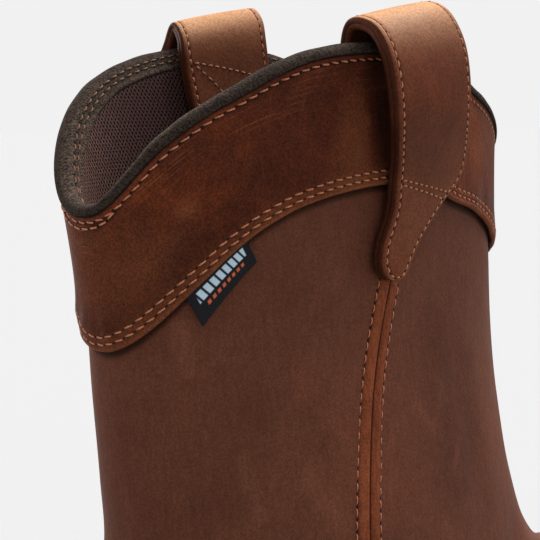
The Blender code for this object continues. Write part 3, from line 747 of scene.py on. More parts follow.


# Leathers: deep, body and rusty tones, the tone for wear and painted highlights, the tone for dark joints and
# painted shade, roughness, then how strong the patches and the grain are
UPPER_LEATHER = leather(
    "upper_leather", (0.076, 0.0268, 0.0158), (0.101, 0.0354, 0.0212), (0.126, 0.0405, 0.0222),
    (0.26, 0.108, 0.06), (0.015, 0.0058, 0.0039), 0.55, 0.2, 0.2, wrinkle=0.05)
PANEL_LEATHER = leather(
    "panel_leather", (0.037, 0.0105, 0.0063), (0.075, 0.0182, 0.0088), (0.138, 0.0315, 0.0108),
    (0.235, 0.078, 0.031), (0.016, 0.0075, 0.0057), 0.53, 0.5, 0.3, lines=(0.55, 24.0, 33.0))
STRAP_LEATHER = leather(
    "strap_leather_fine", (0.064, 0.0186, 0.0096), (0.109, 0.0318, 0.0162), (0.15, 0.04, 0.0174),
    (0.5, 0.258, 0.125), (0.0095, 0.0037, 0.0022), 0.52, 0.3, 0.24)
SEAM_LEATHER = leather(
    "seam_leather", (0.097, 0.0252, 0.0112), (0.15, 0.039, 0.0168), (0.188, 0.051, 0.0205),
    (0.2, 0.075, 0.036), (0.008, 0.0032, 0.0023), 0.55, 0.3, 0.22, wrinkle=0.14)
WELT_LEATHER = leather(
    "welt_leather_fine", (0.03, 0.013, 0.008), (0.05, 0.022, 0.013), (0.075, 0.03, 0.016),
    (0.13, 0.065, 0.036), (0.01, 0.005, 0.0035), 0.6)
# Edging: deep and light fibre tones, the tone for painted light, the tone for painted shade, then the nap's
# height.
EDGING = felt("edging_felt", (0.0105, 0.0072, 0.0056), (0.048, 0.0327, 0.025), (0.12, 0.084, 0.063),
              (0.006, 0.0045, 0.004), 0.0004)
LINING = knit("lining_knit", (0.006, 0.004, 0.004), (0.034, 0.0175, 0.016), (0.084, 0.0445, 0.0415),
              (0.19, 0.102, 0.08))
# Threads: the tone of a stitch's lit end, then of its shaded end.
THREAD_TAN = cotton("thread_tan", (0.5, 0.195, 0.103), (0.125, 0.036, 0.017))
THREAD_PALE = cotton("thread_pale", (0.47, 0.19, 0.097), (0.145, 0.047, 0.022))
THREAD_BROWN = cotton("thread_brown", (0.2, 0.095, 0.053), (0.1, 0.043, 0.024))
HOLE = plain("needle_hole", (0.004, 0.0025, 0.002), (0.008, 0.005, 0.004), 0.9, 900.0, 0.0001)
RUBBER = plain("sole_rubber_fine", (0.017, 0.0135, 0.0115), (0.028, 0.022, 0.0185), 0.68, 420.0, 0.0002)
FOOTBED = plain("footbed_cloth", (0.03, 0.027, 0.027), (0.06, 0.053, 0.05), 0.9, 1500.0, 0.0003)
TAG_CLOTH = woven("tag_weave", (0.004, 0.004, 0.005), (0.014, 0.014, 0.017), (0.44, 0.57, 0.67),
                  (0.5, 0.1, 0.045))

# Soft creases: side, then the two ends by place from the shaft's middle and height, depth and reach
CREASES = (
    (-1, (-57, 203, -54, 186), -0.35, 3), (-1, (-49, 200, -47, 178), 0.3, 4),
    (-1, (34, 190, 40, 150), 0.35, 6), (-1, (66, 128, 30, 112), 0.9, 7), (-1, (74, 116, 40, 98), 0.7, 6),
    (1, (66, 128, 28, 113), 0.9, 7), (1, (74, 116, 38, 99), 0.7, 6), (1, (-36, 190, -30, 150), 0.4, 6),
)
SWELL = 0.22
# Rubbed streaks on the shaft's outer side, and painted shade: the two ends as above, reach, strength
SCUFFS = (
    ((10.5, 187, 17.5, 177.5), 1.1, 0.2), ((17.5, 177.5, 25, 190.5), 1, 0.16),
    ((22, 192, 25.5, 183), 0.9, 0.14), ((26, 165.5, 29.5, 171), 1.3, 0.3), ((19, 151, 22, 148), 2, 0.16),
    ((-46, 183, -42.5, 169), 1.6, 0.13), ((-57.5, 216, -56.4, 206), 1.8, 0.14),
    ((-30, 176, -22, 164), 3, 0.1), ((30, 206, 34, 192), 2, 0.1),
    # The last two are painted shade on the shaft forward of the side seam.
    ((30, 226, 52, 222), 14, -0.12), ((25, 200, 30, 166), 15, -0.36),
)


def from_line(points, ends):
    """Distance in side view from a line that is given by its two ends."""
    x1, z1, x2, z2 = ends
    x = points[..., 0] - SHAFT_X - x1
    z = points[..., 2] - z1
    dx = x2 - x1
    dz = z2 - z1
    t = np.clip((x * dx + z * dz) / (dx * dx + dz * dz), 0.0, 1.0)
    return np.hypot(x - t * dx, z - t * dz)


def relief(points):
    """Rise of the leather over the plain face: soft creases and a slow swell."""
    x, y, z = np.moveaxis(points, -1, 0)
    rise = SWELL * np.sin(x / 17.0 + z / 29.0) * np.sin(z / 23.0 - x / 41.0 + y / 19.0)
    for side, ends, depth, reach in CREASES:
        away = from_line(points, ends)
        rise = rise - depth * (bell(away, 0, reach) - 0.45 * bell(away, 1.9 * reach, reach)) * (y * side > 0)
    return rise


# Upper: outer face with soft relief, and the wall's inner face
COLUMNS = 320
PHI = turn(COLUMNS)
FOOT_ROWS = np.linspace(HEEL_HEIGHT + GAP, 160.0, 72)
SHAFT_SHARES = np.linspace(0.0, 1.0, 42)[1:]
# Distances below the panel's edge, and shares of the height that the panel hides
EDGE_DROPS = np.arange(4.6, -1.3, -0.36)
HIDDEN_SHARES = np.linspace(0.0, 1.0, 11)[1:]
panel_low = panel_edge_line(PHI)
foot_rows = np.repeat(FOOT_ROWS[:, None], COLUMNS, axis=1)
shaft_rows = FOOT_ROWS[-1] + (panel_low - EDGE_DROPS[0] - 0.5 - FOOT_ROWS[-1]) * SHAFT_SHARES[:, None]
edge_rows = panel_low - EDGE_DROPS[:, None]
hidden_rows = edge_rows[-1] + (collar(PHI) - GAP - edge_rows[-1]) * HIDDEN_SHARES[:, None]
levels = np.concatenate([foot_rows, shaft_rows, edge_rows, hidden_rows])
seen = smooth_step(0.0, 9.0, panel_low - levels) * smooth_step(HEEL_HEIGHT + 3.0, HEEL_HEIGHT + 14.0, levels)
outside = off_upper(PHI, levels, relief(upper_face(PHI, levels)) * seen)
ring = np.concatenate([outside, off_upper(PHI, levels[::-3], -WALL)])
marks = sum(strength * bell(from_line(ring, ends), 0, reach) for ends, reach, strength in SCUFFS)
marks = marks * (ring[..., 1] < 0)
# Painted shadow on the shaft just below the panel's edge.
marks[:len(levels)] -= 0.85 * smooth_step(2.9, 1.0, panel_low - levels)
skin("shaft_and_foot", ring, marks, WALL, UPPER_LEATHER, "oiled_leather", "upper")

# Lining inside the wall
LINING_COLUMNS = 200
LINING_ROWS = 90
LINING_OUT = -WALL - 0.1
LINING_THICK = 0.6
LINING_BELOW_EDGE = 2.2
phi = turn(LINING_COLUMNS)
low = HEEL_HEIGHT + INSOLE_THICK - 1.0
levels = low + (collar(phi) - LINING_BELOW_EDGE - low) * np.linspace(0.0, 1.0, LINING_ROWS)[:, None]
inner_face = off_upper(phi, levels, LINING_OUT - LINING_THICK)
ring = np.concatenate([off_upper(phi, levels, LINING_OUT), inner_face[::-1]])
levels = np.concatenate([levels, levels[::-1], levels[:1]])
middle_ring = inner_face[LINING_ROWS // 2]
u = lengths(np.concatenate([middle_ring, middle_ring[:1]]))
uv = np.stack(np.broadcast_arrays(u, np.concatenate([levels, levels[:, :1]], axis=1)), axis=-1)
lining = Piece()
# The lining's mark is painted light, growing toward the back.
lining.grid(ring, uv, smooth_step(0.4, 0.95, -np.cos(phi)), wrap=True, close=True)
lining.make("lining", LINING, "edging_cloth")

# Collar panel: rounded lower edge, pressed along its seams
PANEL_COLUMNS = 480
# Lower edge: distance above the edge's line, rise from the panel's back
PANEL_EDGE = ((0, 0), (-0.22, 0.3), (-0.3, 0.75), (-0.12, 1.25), (0.25, 1.58), (0.7, 1.74))
PANEL_UPS = np.concatenate([[0.7], np.arange(1.0, 4.6, 0.24), np.linspace(4.8, 24.0, 24)])
# Shares of the way from there to the collar, closer where the collar's row of stitches is
PANEL_TOP_SHARES = np.concatenate([np.linspace(0.0, 0.66, 9)[1:], np.linspace(0.66, 1.0, 24)[1:]])
PANEL_FLAT = GAP + PANEL_THICK + 0.1
UNDER_EDGING = 0.15
# Rubbed, rusty and darker spots, with painted light and painted shadow beside the outer strap: place from the
# shaft's middle, height, reach, strength
PANEL_SPOTS = (
    (-57.9, 243.4, 2.2, 0.3), (-64.5, 230, 4.5, 0.16), (-69.5, 223, 7, 0.16), (-61, 236, 3.5, 0.12),
    # The spots from x -14 to -9 are painted light where the outer strap shades the panel; those from x -8 to
    # -2 are painted shadow in the gap beside it.
    (-70.3, 236, 7, 0.14), (-9, 262, 2, 0.18), (-12, 254, 3, 0.12), (50, 256, 12, 0.2), (-13, 263, 10, 0.38),
    (-14, 248, 8, 0.14), (-8, 274, 3.6, -0.7), (-5.6, 267, 3.6, -0.7), (-3.8, 260.5, 3.6, -0.7),
    (-2, 253.5, 3.6, -0.6), (-36, 236, 9, 0.06), (-40, 258, 12, -0.16), (-24, 266, 12, -0.16),
)


def panel_out(phi, up):
    """Face of the panel: crowned and a little wavy along its lower edge, pulled in along its two seams."""
    pulled = sum(0.3 * bell(up, row, 0.42) for row in PANEL_ROWS)
    wave = 0.1 * np.sin(phi * 23.0 + 1.0) + 0.07 * np.sin(phi * 41.0)
    return PANEL_FLAT + 0.25 * bell(up, 2.5, 1.6) - pulled + (0.15 + wave) * (1 - smooth_step(4.0, 12.0, up))


def panel_rings(phi):
    """Rings of the panel and the tone of each: up its face, over the top and down its back; the tones paint
    shade under its edge, under the edging and on its back, and a highlight on its lip.
    """
    edge_up, edge_rise = PANEL_EDGE[-1]
    # The edge's underside gets painted shade, its top a painted highlight.
    for up_mm, rise in PANEL_EDGE:
        p, h = above(phi, panel_edge_line, up_mm)
        yield off_upper(p, h, panel_out(phi, edge_up) - edge_rise + rise), -0.75 if rise < 0.6 else 0.4
    for up_mm in PANEL_UPS:
        p, h = above(phi, panel_edge_line, up_mm)
        # Painted highlight on the lip, and a rusty tint around the rows.
        tone = 0.3 * bell(up_mm, 0.4, 0.5) + 0.2 * bell(up_mm, 2.0, 1.8)
        yield off_upper(p, h, panel_out(phi, up_mm)), tone
    top = collar(phi) - UNDER_EDGING
    wide = full_turn(phi)
    rim = upper_face(wide, collar(wide))
    along = rim[2:] - rim[:-2]
    level_share = np.linalg.norm(along[:, :2], axis=-1) / np.linalg.norm(along, axis=-1)
    for share in PANEL_TOP_SHARES:
        angle = p + (phi - p) * share
        height = h + (top - h) * share
        left = (collar(angle) - height) * level_share
        # A rusty strip under the edging; painted shadow right under the edging and in the groove of the
        # collar's row.
        tone = 0.12 * bell(left, 0.8, 0.4) - 0.4 * bell(left, 0, 0.4)
        tone = tone - 0.5 * bell(left, COLLAR_ROW + 0.2, 0.4)
        yield off_upper(angle, height, PANEL_FLAT - 0.28 * bell(left, COLLAR_ROW, 0.42)), tone
    foot = panel_edge_line(phi)
    # Its back, hidden against the shaft, in painted shade.
    for share in np.linspace(1.0, 0.0, 12):
        yield off_upper(phi, foot + (top - foot) * share, GAP * 0.7), -0.8


rings, tones = zip(*panel_rings(turn(PANEL_COLUMNS)))
ring = np.array(rings)
wear_and_light = np.array([np.broadcast_to(tone, PANEL_COLUMNS) for tone in tones])
for x, z, reach, strength in PANEL_SPOTS:
    away = np.hypot(ring[..., 0] - SHAFT_X - x, ring[..., 2] - z)
    wear_and_light = wear_and_light + strength * bell(away, 0, reach) * (wear_and_light > -0.6)
skin("collar_panel_leather", ring, wear_and_light, 1.0, PANEL_LEATHER, "collar_leather", "collar_panel")

# Rolled edging and its facing
ROLL_STEPS = 52
ROLL_COLUMNS = 420
phi = turn(ROLL_COLUMNS)
knots = np.array(ROLL + ROLL[:3], float)
at = np.linspace(1.0, len(ROLL) + 1.0, ROLL_STEPS, endpoint=False)
roll_out, roll_rise = (blend(np.arange(len(knots)), column, at) for column in knots.T)
wave = 1 + 0.03 * np.sin(phi * 17.0) + 0.025 * np.sin(phi * 39.0 + 2.0)
at_back = smooth_step(0.4, 0.9, -np.cos(phi)) * (1 - 0.5 * smooth_step(0.15, 0.5, np.sin(phi)))
rings = []
tones = []
for out, rise in zip(roll_out, roll_rise):
    p, h = above(phi, collar, rise * (wave if rise > 0 else 1.0))
    rings.append(off_upper(p, h, out))
    # Painted light on the facing inside, away from the back, and strongest over the back but for its outer
    # face; painted shade on the faces hidden under the roll.
    lit = 0.3 * smooth_step(-0.8, -1.8, out) + 0.22 * smooth_step(-0.55, -0.3, np.cos(phi))
    lit = lit + 0.8 * at_back * smooth_step(2.4, 0.6, out)
    hidden = rise < 0.3 and out > -2.3
    tones.append(np.full(ROLL_COLUMNS, -0.55) if hidden else lit)
skin("collar_edging", rings, np.array(tones), 0.5, EDGING, "edging_cloth", "collar_binding")


def strap_column(side, name, at):
    """A column of a strap's table at a station, which is a row's number."""
    rows = STRAP[side]
    return blend(np.arange(len(rows)), rows[:, STRAP_COLUMNS.index(name)], at)


STRAP_LEVEL = {side: float(collar_curve(angle_at(STRAP_PLACE[side], COLLAR_HEIGHT, side))) for side in STRAP}


def strap_face(side, at, sideways):
    """Middle surface of a strap at a station, a distance to the side of its middle line."""
    at, sideways = np.broadcast_arrays(np.asarray(at, float), np.asarray(sideways, float))
    x = STRAP_PLACE[side] + strap_column(side, "forward", at) + sideways
    height = STRAP_LEVEL[side] + STRAP_LIFT[side] + strap_column(side, "rise", at)
    height = height + strap_column(side, "tilt", at) * sideways
    out = strap_column(side, "out", at) - strap_column(side, "twist", at) * sideways
    return off_upper(angle_at(x, height, side), height, out)


def strap_normal(side, at, sideways):
    """Direction out of the strap's loop."""
    along = strap_face(side, at + 0.06, sideways) - strap_face(side, at - 0.06, sideways)
    across = strap_face(side, at, sideways + 0.3) - strap_face(side, at, sideways - 0.3)
    return unit(np.cross(along, across) * side)


def strap_rise(half, sideways):
    """Outer face of a strap over its middle surface, crowned across its width."""
    return STRAP_THICK / 2 + STRAP_CROWN * (1 - (sideways / half) ** 2)


def strap_round(side, at):
    """Once round a strap's section at all its stations: place across, place through, tone. The tone lightens
    the bend as wear and painted highlight and darkens the edges, with painted shade in the grooves.
    """
    half = np.maximum(strap_column(side, "half_width", at), 1.0)
    ridge_at, ridge_reach, ridge_tone = STRAP_RIDGE[side]
    ridge = ridge_tone * bell(at, ridge_at, ridge_reach)
    room = np.minimum(1.0, half / 6.0)
    flat = half - 3.5 * room

    def edge_tone(thick):
        # Edges carry the bend's lightening on top; elsewhere they are dark, darkest as painted shade in the
        # groove between the layers.
        if thick > 1.4:
            return 0.83 * ridge
        return 0.33 * ridge - (0.85 if abs(thick) < 0.1 else 0.58)

    face = [-(half - inset * room) for inset in ROW_INSETS]
    face += [share * flat for share in FACE_SHARES]
    face += [half - inset * room for inset in ROW_INSETS[::-1]]
    for where in face:
        # Face: lighter at the bend, near the sides and toward the tail; painted shade in the groove of the
        # edge row.
        inset = half - np.abs(where)
        tone = ridge + 0.2 * bell(inset, 0.9, 0.9) + 0.05 * bell(at, 5.0, 2.4) + STRAP_TONE[side]
        thick = strap_rise(half, where) - 0.26 * bell(inset, EDGE_ROW, 0.4)
        yield where, thick, tone - 0.3 * bell(inset, EDGE_ROW, 0.35)
    for inset, thick in STRAP_EDGE:
        yield half - inset * room, thick, edge_tone(thick)
    for share in FACE_SHARES[::-1]:
        yield share * flat, -STRAP_THICK / 2, -0.35
    for inset, thick in STRAP_EDGE[::-1]:
        yield inset * room - half, thick, edge_tone(thick)


def pull_strap(side, name, node):
    """Two layers of leather sewn together and folded over the collar."""
    at = np.linspace(0.0, len(STRAP[side]) - 1.0, STRAP_STATIONS)
    columns = [np.broadcast_arrays(*column, at)[:3] for column in strap_round(side, at)]
    sideways, through, wear_and_light = (np.array(part).T for part in zip(*columns))
    points = strap_face(side, at[:, None], sideways)
    points = points + strap_normal(side, at[:, None], sideways) * through[..., None]
    uv = np.stack(np.broadcast_arrays(sideways, lengths(points[:, 8])[:, None]), axis=-1)
    strap = Piece()
    strap.tube(points, np.concatenate([uv, uv[:, :1]], axis=1), wear_and_light, flip=side > 0)
    strap.make(name, STRAP_LEATHER, "strap_leather", node)


pull_strap(-1, "strap_outer", "pull_strap_outer")
pull_strap(1, "strap_inner", "pull_strap_inner")


def seam_line(side, levels, aside):
    """Places of the side seam moved aside, as angles and heights."""
    middle = SHAFT_X + follow(SEAM, levels)
    slope = np.gradient(middle, levels)
    long = np.sqrt(1 + slope * slope)
    height = levels - aside * slope / long
    return angle_at(middle + aside / long, height, side), height


def seam_strip(side, name, node):
    """The folded strip over a side seam."""
    levels = np.linspace(SEAM_FOOT, SEAM_TOP[side], 130)
    across, rises, tones = SEAM_STRIP.T
    points = np.stack([off_upper(*seam_line(side, levels, aside), rise)
                       for aside, rise in zip(across, rises)], axis=1)
    uv = np.stack(np.broadcast_arrays(np.append(across, across[0]), levels[:, None]), axis=-1)
    strip = Piece()
    strip.tube(points, uv, tones, flip=side > 0)
    strip.make(name, SEAM_LEATHER, "oiled_leather", node)


seam_strip(-1, "seam_strip_outer", "side_seam_outer")
seam_strip(1, "seam_strip_inner", "side_seam_inner")

# Woven tag: a folded strip of cloth
across = np.linspace(-0.5, 0.5, 34)
downs = np.linspace(0.0, 1.0, 16)
tag_x = SHAFT_X + TAG_FORWARD + across * TAG_ACROSS
tag_level = np.full(tag_x.shape, COLLAR_HEIGHT - 60.0)
for _ in range(5):
    tag_level = panel_edge_line(angle_at(tag_x, tag_level, -1)) + 0.6


def tag_row(down, out):
    """A row of the tag across its width, some of the way down."""
    fall = down * (1.06 - TAG_TAPER * (across + 0.5))
    level = tag_level - fall * (TAG_DROP + TAG_HIDDEN)
    curl = TAG_CURL * np.abs(across * 2) ** 6
    return off_upper(angle_at(tag_x + fall * TAG_LEAN, level, -1), level, out + (TAG_CURL + curl) * down)


rows = [tag_row(down, GAP + TAG_THICK) for down in downs[::-1]]
rows += [tag_row(down, GAP) for down in downs]
rows += [tag_row(1.035, GAP + TAG_THICK * share) for share in (0.3, 0.7)]
v = np.concatenate([(1 - downs[::-1]) * TAG_DROP, np.zeros(len(downs) + 2)])
uv = np.stack(np.broadcast_arrays((across + 0.5) * TAG_ACROSS, v[:, None]), axis=-1)
tag = Piece()
tag.grid(np.array(rows), np.concatenate([uv, uv[:1]]), close=True)
tag.cap(range(0, tag.count, len(across)))
tag.cap(range(len(across) - 1, tag.count, len(across)), flip=True)
tag.make("woven_tag_cloth", TAG_CLOTH, "woven_tag", "side_tag")


def foot_outline(out, columns):
    """Plan of the feather edge moved outward, in points that pair up left and right."""
    half = 720
    ring = upper_face(np.linspace(0.0, 2 * math.pi, 2 * half + 1), HEEL_HEIGHT)[:, :2]
    ahead = np.roll(ring[:-1], -1, axis=0) - np.roll(ring[:-1], 1, axis=0)
    ahead = np.concatenate([ahead, ahead[:1]])
    moved = ring + unit(np.stack([ahead[:, 1], -ahead[:, 0]], axis=-1)) * out
    front = moved[0, 0]
    rear = moved[half, 0]
    x = (front + rear) / 2 + (front - rear) / 2 * np.cos(np.linspace(0.0, math.pi, columns // 2 + 1))
    inner = np.interp(x, moved[half::-1, 0], moved[half::-1, 1])
    outer = np.interp(x, moved[half:, 0], moved[half:, 1])
    return np.concatenate([np.column_stack([x, inner]), np.column_stack([x, outer])[-2:0:-1]])


def rungs(piece, first, columns, flip):
    """Faces across a closed row whose points pair up left and right."""
    half = columns // 2
    piece.cap((first, first + 1, first + columns - 1), flip)
    for j in range(1, half - 1):
        piece.cap((first + j, first + j + 1, first + columns - j - 1, first + columns - j), flip)
    piece.cap((first + half - 1, first + half, first + half + 1), flip)


def tread(x):
    """Height of the tread: flat under heel and ball, rising at the toe."""
    lift = np.clip((np.asarray(x, float) - TOE_FLAT_END) / (OUTSOLE_LENGTH / 2 - TOE_FLAT_END), 0.0, 1.0)
    return TOE_SPRING * lift ** 1.7


def sole_ring(out, rise=0.0, down=0.0):
    """The foot's outline moved out, over the sole's top by a rise or a share of the way down to the tread."""
    outline = foot_outline(out, SOLE_COLUMNS)
    x = outline[:, 0]
    top = sole_top(x)
    return np.column_stack([outline, top + rise + (tread(x) - top) * down])


def plate(name, rings, paint, slot, node):
    """A closed plate from rings, from the lowest up."""
    made = Piece()
    grid = np.array(rings)
    made.grid(grid, round_uv(grid, lengths(grid[:, 0])), wrap=True)
    rungs(made, 0, SOLE_COLUMNS, True)
    rungs(made, made.count - SOLE_COLUMNS, SOLE_COLUMNS, False)
    return made.make(name, paint, slot, node)


# Insole with a soft edge, welt with rounded edges
bed = [sole_ring(out, GAP + rise) for out, rise in BED_SECTION]
plate("insole_bed", bed, FOOTBED, "footbed_foam", "insole")
welt = [sole_ring(out, rise) for out, rise, _ in WELT_SECTION]
tones = np.repeat([[tone] for _, _, tone in WELT_SECTION], SOLE_COLUMNS, axis=1)
skin("welt_strip", welt, tones, 3.0, WELT_LEATHER, "welt_leather", "welt")

# Outsole: side steps with softened corners, arch and lugs cut out
corners = SIDE_STEPS[1:-1, 0]
downs = [np.linspace(0.0, 1.0, 22), SIDE_STEPS[:, 0], corners - SIDE_CORNER, corners + SIDE_CORNER]
downs = np.unique(np.concatenate(downs))
outs = np.interp(downs, *SIDE_STEPS.T)
outs[0] -= SIDE_TOP_ROUND
outs[-1] -= SIDE_FOOT_ROUND
sides = [sole_ring(FLANGE + out, down=down) for down, out in zip(downs, outs)]
sole = plate("lugged_sole", sides[::-1], RUBBER, "sole_rubber", "outsole")


def cut(points, faces):
    """Takes a closed form out of the sole."""
    mesh = bpy.data.meshes.new("cutter")
    mesh.from_pydata((np.asarray(points) * MM).tolist(), [], faces)
    tool = bpy.data.objects.new("cutter", mesh)
    bpy.context.scene.collection.objects.link(tool)
    step = sole.modifiers.new("cut", "BOOLEAN")
    step.operation = "DIFFERENCE"
    step.solver = "EXACT"
    step.object = tool
    with bpy.context.temp_override(object=sole, active_object=sole):
        bpy.ops.object.modifier_apply(modifier=step.name)
    bpy.data.objects.remove(tool, do_unlink=True)


BELOW_SOLE = -3.0
arch_x = np.append(FLAT_HEEL_END, np.linspace(FLAT_HEEL_END + 4.0, ARCH_END, 19))
arch_z = ARCH_RISE * (1 - ((arch_x - FLAT_HEEL_END) / (ARCH_END - FLAT_HEEL_END)) ** 1.6)
arch_z[0] = ARCH_RISE - 2.0
arch_z[-1] = -0.6
profile = [(FLAT_HEEL_END, BELOW_SOLE), *zip(arch_x, arch_z), (ARCH_END, BELOW_SOLE)]
points = [(x, y, z) for y in (-BALL_WIDTH, BALL_WIDTH) for x, z in profile]
n = len(profile)
faces = [tuple(range(n))[::-1], tuple(range(n, 2 * n))]
faces += [(i, (i + 1) % n, n + (i + 1) % n, n + i) for i in range(n)]
cut(points, faces)

BOX_FACES = ((0, 1, 3, 2), (4, 6, 7, 5), (0, 4, 5, 1), (2, 3, 7, 6), (0, 2, 6, 4), (1, 5, 7, 3))
# Ends of a groove: distance from the sole's middle, half its width as a share of the groove
GROOVE_ENDS = ((LUG_INNER, 0.42), (BALL_WIDTH * 0.75, 0.5))
points = []
faces = []
for place in LUG_PLACES:
    for side in (-1, 1):
        base = len(points)
        for z in (-4.0, LUG_DEPTH):
            for reach, half in GROOVE_ENDS:
                for end in (-1, 1):
                    x = place + end * half * LUG_GROOVE
                    x += math.sin(math.radians(LUG_SKEW_DEG)) * (reach - LUG_INNER)
                    points.append((x, side * reach, float(tread(place)) + z))
        for face in BOX_FACES:
            named = tuple(base + i for i in face)
            faces.append(named[::-1] if side > 0 else named)
cut(points, faces)
with bpy.context.temp_override(object=sole, active_object=sole, selected_editable_objects=[sole]):
    bpy.ops.object.shade_smooth_by_angle(angle=math.radians(32))


def along(far, values, at):
    """Values at distances along a line whose points are far from its start."""
    return np.stack([np.interp(at, far, column) for column in values.T], axis=-1)


class Sewing:
    """Rows of stitches and their needle holes, gathered into two meshes."""

    AROUND = turn(8)
    SUNK = 0.3
    PLY = 0.13
    HOLE_LONG = 0.44
    HOLE_WIDE = 0.34

    def __init__(self):
        self.stitches = []
        self.holes = []

    def row(self, line, outward, pitch=PITCH, share=0.76, slant=0.0, thread=THREAD):
        """Stitches along a line of points on a surface with the given outward directions."""
        far = lengths(line)
        count = max(int(round(far[-1] / pitch)), 1)
        step = far[-1] / count
        middle = (np.arange(count) + 0.5) * step
        n = unit(along(far, outward, middle))
        a = along(far, line, middle - share * step / 2)
        b = along(far, line, middle + share * step / 2)
        lean = slant + RNG.normal(0.0, 0.035, count)
        aside = unit(np.cross(n, b - a)) * lean[:, None]
        lift = thread * (0.72 + RNG.normal(0.0, 0.07, count))
        self.stitches.append((a - aside, b + aside, n, lift, np.full(count, thread)))
        ends = np.append(0.0, middle + step / 2)
        ahead = along(far, line, np.minimum(ends + 0.2, far[-1]))
        ahead = ahead - along(far, line, np.maximum(ends - 0.2, 0.0))
        self.holes.append((along(far, line, ends), unit(along(far, outward, ends)), unit(ahead)))

    def make(self, name, paint, slot):
        a, b, n, lift, thick = (np.concatenate(part) for part in zip(*self.stitches))
        t = np.linspace(0.0, 1.0, 9)
        arch = np.sin(math.pi * t) ** 0.55
        middle = a[:, None] + (b - a)[:, None] * t[None, :, None]
        middle = middle + n[:, None] * (-self.SUNK + (lift + self.SUNK)[:, None] * arch)[..., None]
        ahead = unit(np.gradient(middle, axis=1))
        aside = unit(np.cross(n[:, None], ahead))
        over = np.cross(ahead, aside)
        cos, sin = np.cos(self.AROUND), np.sin(self.AROUND)
        ply = 1 + self.PLY * np.cos(2 * (self.AROUND - t[:, None] * 2.3 * math.pi))
        radius = thick[:, None, None] * (0.72 + 0.28 * arch)[:, None] * ply
        points = (middle[:, :, None] + aside[:, :, None] * (radius * cos)[..., None]
                  + over[:, :, None] * (radius * sin * 0.9)[..., None])
        uv = np.zeros((len(t), len(cos) + 1, 2))
        lit = np.repeat(smooth_step(-0.2, 0.8, t)[:, None], len(cos), axis=1)
        sewn = Piece()
        for stitch in points:
            sewn.tube(stitch, uv, lit)
        sewn.make(name, paint, slot)
        where, n, ahead = (np.concatenate(part) for part in zip(*self.holes))
        aside = np.cross(n, ahead)
        rim = (ahead[:, None] * (self.HOLE_LONG * cos)[:, None]
               + aside[:, None] * (self.HOLE_WIDE * sin)[:, None])
        low = where[:, None] + rim - n[:, None] * 0.12
        high = where[:, None] + rim * 0.8 + n[:, None] * 0.05
        spots = Piece()
        for hole in np.stack([low, high], axis=1):
            spots.tube(hole, uv[:2])
        spots.make(name + "_holes", HOLE, slot)


def ring_line(line, distance, out, start=0.0, stop=2 * math.pi, count=1500):
    """Points and outward directions along a line round the upper, moved up from it."""
    phi = np.linspace(start, stop, count)
    p, h = beside(phi, line(phi), distance)
    return off_upper(p, h, out(phi)), upper_normal(p, h)


# Seams of the panel and the collar
sewing = Sewing()
for distance in PANEL_ROWS:
    sewing.row(*ring_line(panel_edge_line, distance, lambda phi: panel_out(phi, distance)), **PANEL_SEWN)
sewing.row(*ring_line(collar, -COLLAR_ROW, lambda phi: PANEL_FLAT - 0.2), **COLLAR_SEWN)
sewing.make("panel_stitches", THREAD_TAN, "collar_leather")

# Second row at the back of the collar, and the facing's rows inside
sewing = Sewing()
drop = COLLAR_ROW + BACK_DROP * np.sin(np.linspace(0.0, math.pi, BACK_ROW["count"])) ** 0.5
sewing.row(*ring_line(collar, -drop, lambda phi: PANEL_FLAT, **BACK_ROW), **BACK_SEWN)
sewing.make("collar_back_stitches", THREAD_TAN, "collar_leather")
sewing = Sewing()
for rise, out in FACING_ROWS:
    line, outward = ring_line(collar, rise, lambda phi: out)
    sewing.row(line, -outward, **FACING_SEWN)
sewing.make("facing_stitches", THREAD_BROWN, "edging_cloth")

# Side seams
for side, name in ((-1, "seam_stitches_outer"), (1, "seam_stitches_inner")):
    sewing = Sewing()
    levels = np.linspace(SEAM_FOOT + 1.0, SEAM_TOP[side] - 0.5, 260)
    for aside in (-SEAM_STITCH, SEAM_STITCH):
        phi, height = seam_line(side, levels, aside)
        sewing.row(off_upper(phi, height, 0.12), upper_normal(phi, height), **SEAM_SEWN)
    sewing.make(name, THREAD_PALE, "oiled_leather")


def strap_line(side, at, sideways, sunk):
    """Points on a strap's outer face, sunk into it by a distance."""
    n = strap_normal(side, at, sideways)
    rise = strap_rise(strap_column(side, "half_width", at), sideways) - sunk
    return strap_face(side, at, sideways) + n * rise[:, None], n


# Straps: one row all round the edge and the tail's tip, then the straight ones
TIP_AT = 2.0
TIP_ROUND = 0.75
for side, name in ((-1, "strap_stitches_outer"), (1, "strap_stitches_inner")):
    sewing = Sewing()
    at = np.linspace(len(STRAP[side]) - 1.5, TIP_AT, 420)
    half = strap_column(side, "half_width", at) - EDGE_ROW
    tip = np.linspace(0.0, math.pi, 30)[1:-1]
    stations = np.concatenate([at, TIP_AT - TIP_ROUND * np.sin(tip), at[::-1]])
    aside = np.concatenate([-half, -half[-1] * np.cos(tip), half[::-1]])
    sewing.row(*strap_line(side, stations, aside, 0.2), **STRAP_SEWN)
    for from_at, from_aside, to_at, to_aside in STRAP_ROWS:
        share = np.linspace(0.0, 1.0, 60)
        stations = from_at + (to_at - from_at) * share
        aside = from_aside + (to_aside - from_aside) * share
        sewing.row(*strap_line(side, stations, aside, 0.02), **STRAP_SEWN)
    sewing.make(name, THREAD_PALE, "strap_leather")

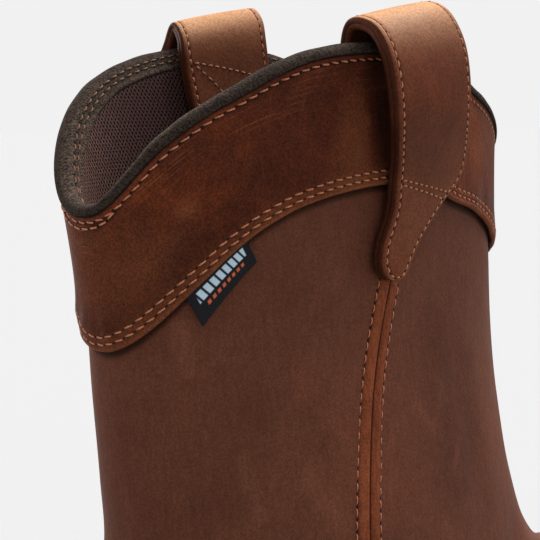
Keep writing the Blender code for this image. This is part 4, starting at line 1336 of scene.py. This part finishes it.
# Welt
outline = foot_outline(WELT_ROW, 1200)
line = np.column_stack([outline, sole_top(outline[:, 0]) + WELT_THICK + 0.3])
line = np.concatenate([line, line[:1]])
sewing = Sewing()
sewing.row(line, np.tile([0.0, 0.0, 1.0], (len(line), 1)), **WELT_SEWN)
sewing.make("welt_stitches", THREAD_BROWN, "welt_leather")

# Stage: pale floor, a broad soft light from above and right, another from the left behind the boot
BACKDROP = 0.88
FLOOR_TONE = 0.3
FLOOR_REACH = 14.0
# Name, direction it comes from in the camera's axes (right, up, back), strength, spread in degrees
LIGHTS = (
    ("key", (0.45, 1.0, -0.3), 6.0, 42.0),
    ("rim", (-0.62, 0.3, -0.72), 3.4, 40.0),
)
floor_light = BACKDROP
for name, (r, u, b), strength, spread in LIGHTS:
    toward = (right * r + up * u + back * b).normalized()
    lamp = bpy.data.lights.new(name, "SUN")
    lamp.energy = strength
    lamp.angle = math.radians(spread)
    lit = bpy.data.objects.new(name, lamp)
    lit.rotation_euler = toward.to_track_quat("Z", "Y").to_euler()
    bpy.context.scene.collection.objects.link(lit)
    floor_light += strength * toward.z / math.pi

# The floor's own glow brings it to the backdrop's tone
pale = Paint("pale_floor", 1.0, Base_Color=(FLOOR_TONE,) * 3, Specular_IOR_Level=0.0,
             Emission_Color=(1.0, 1.0, 1.0), Emission_Strength=BACKDROP - FLOOR_TONE * floor_light)
floor_mesh = bpy.data.meshes.new("floor")
corners = [(x * FLOOR_REACH, y * FLOOR_REACH, 0.0) for x, y in ((-1, -1), (1, -1), (1, 1), (-1, 1))]
floor_mesh.from_pydata(corners, [], [(0, 1, 2, 3)])
floor_mesh.materials.append(pale.made)
floor = bpy.data.objects.new("floor", floor_mesh)
bpy.context.scene.collection.objects.link(floor)

world = bpy.data.worlds.new("studio")
world.use_nodes = True
world.node_tree.nodes["Background"].inputs["Color"].default_value = (BACKDROP, BACKDROP, BACKDROP, 1.0)
world.node_tree.nodes["Background"].inputs["Strength"].default_value = 1.0
bpy.context.scene.world = world
bpy.context.scene.view_settings.view_transform = "Standard"
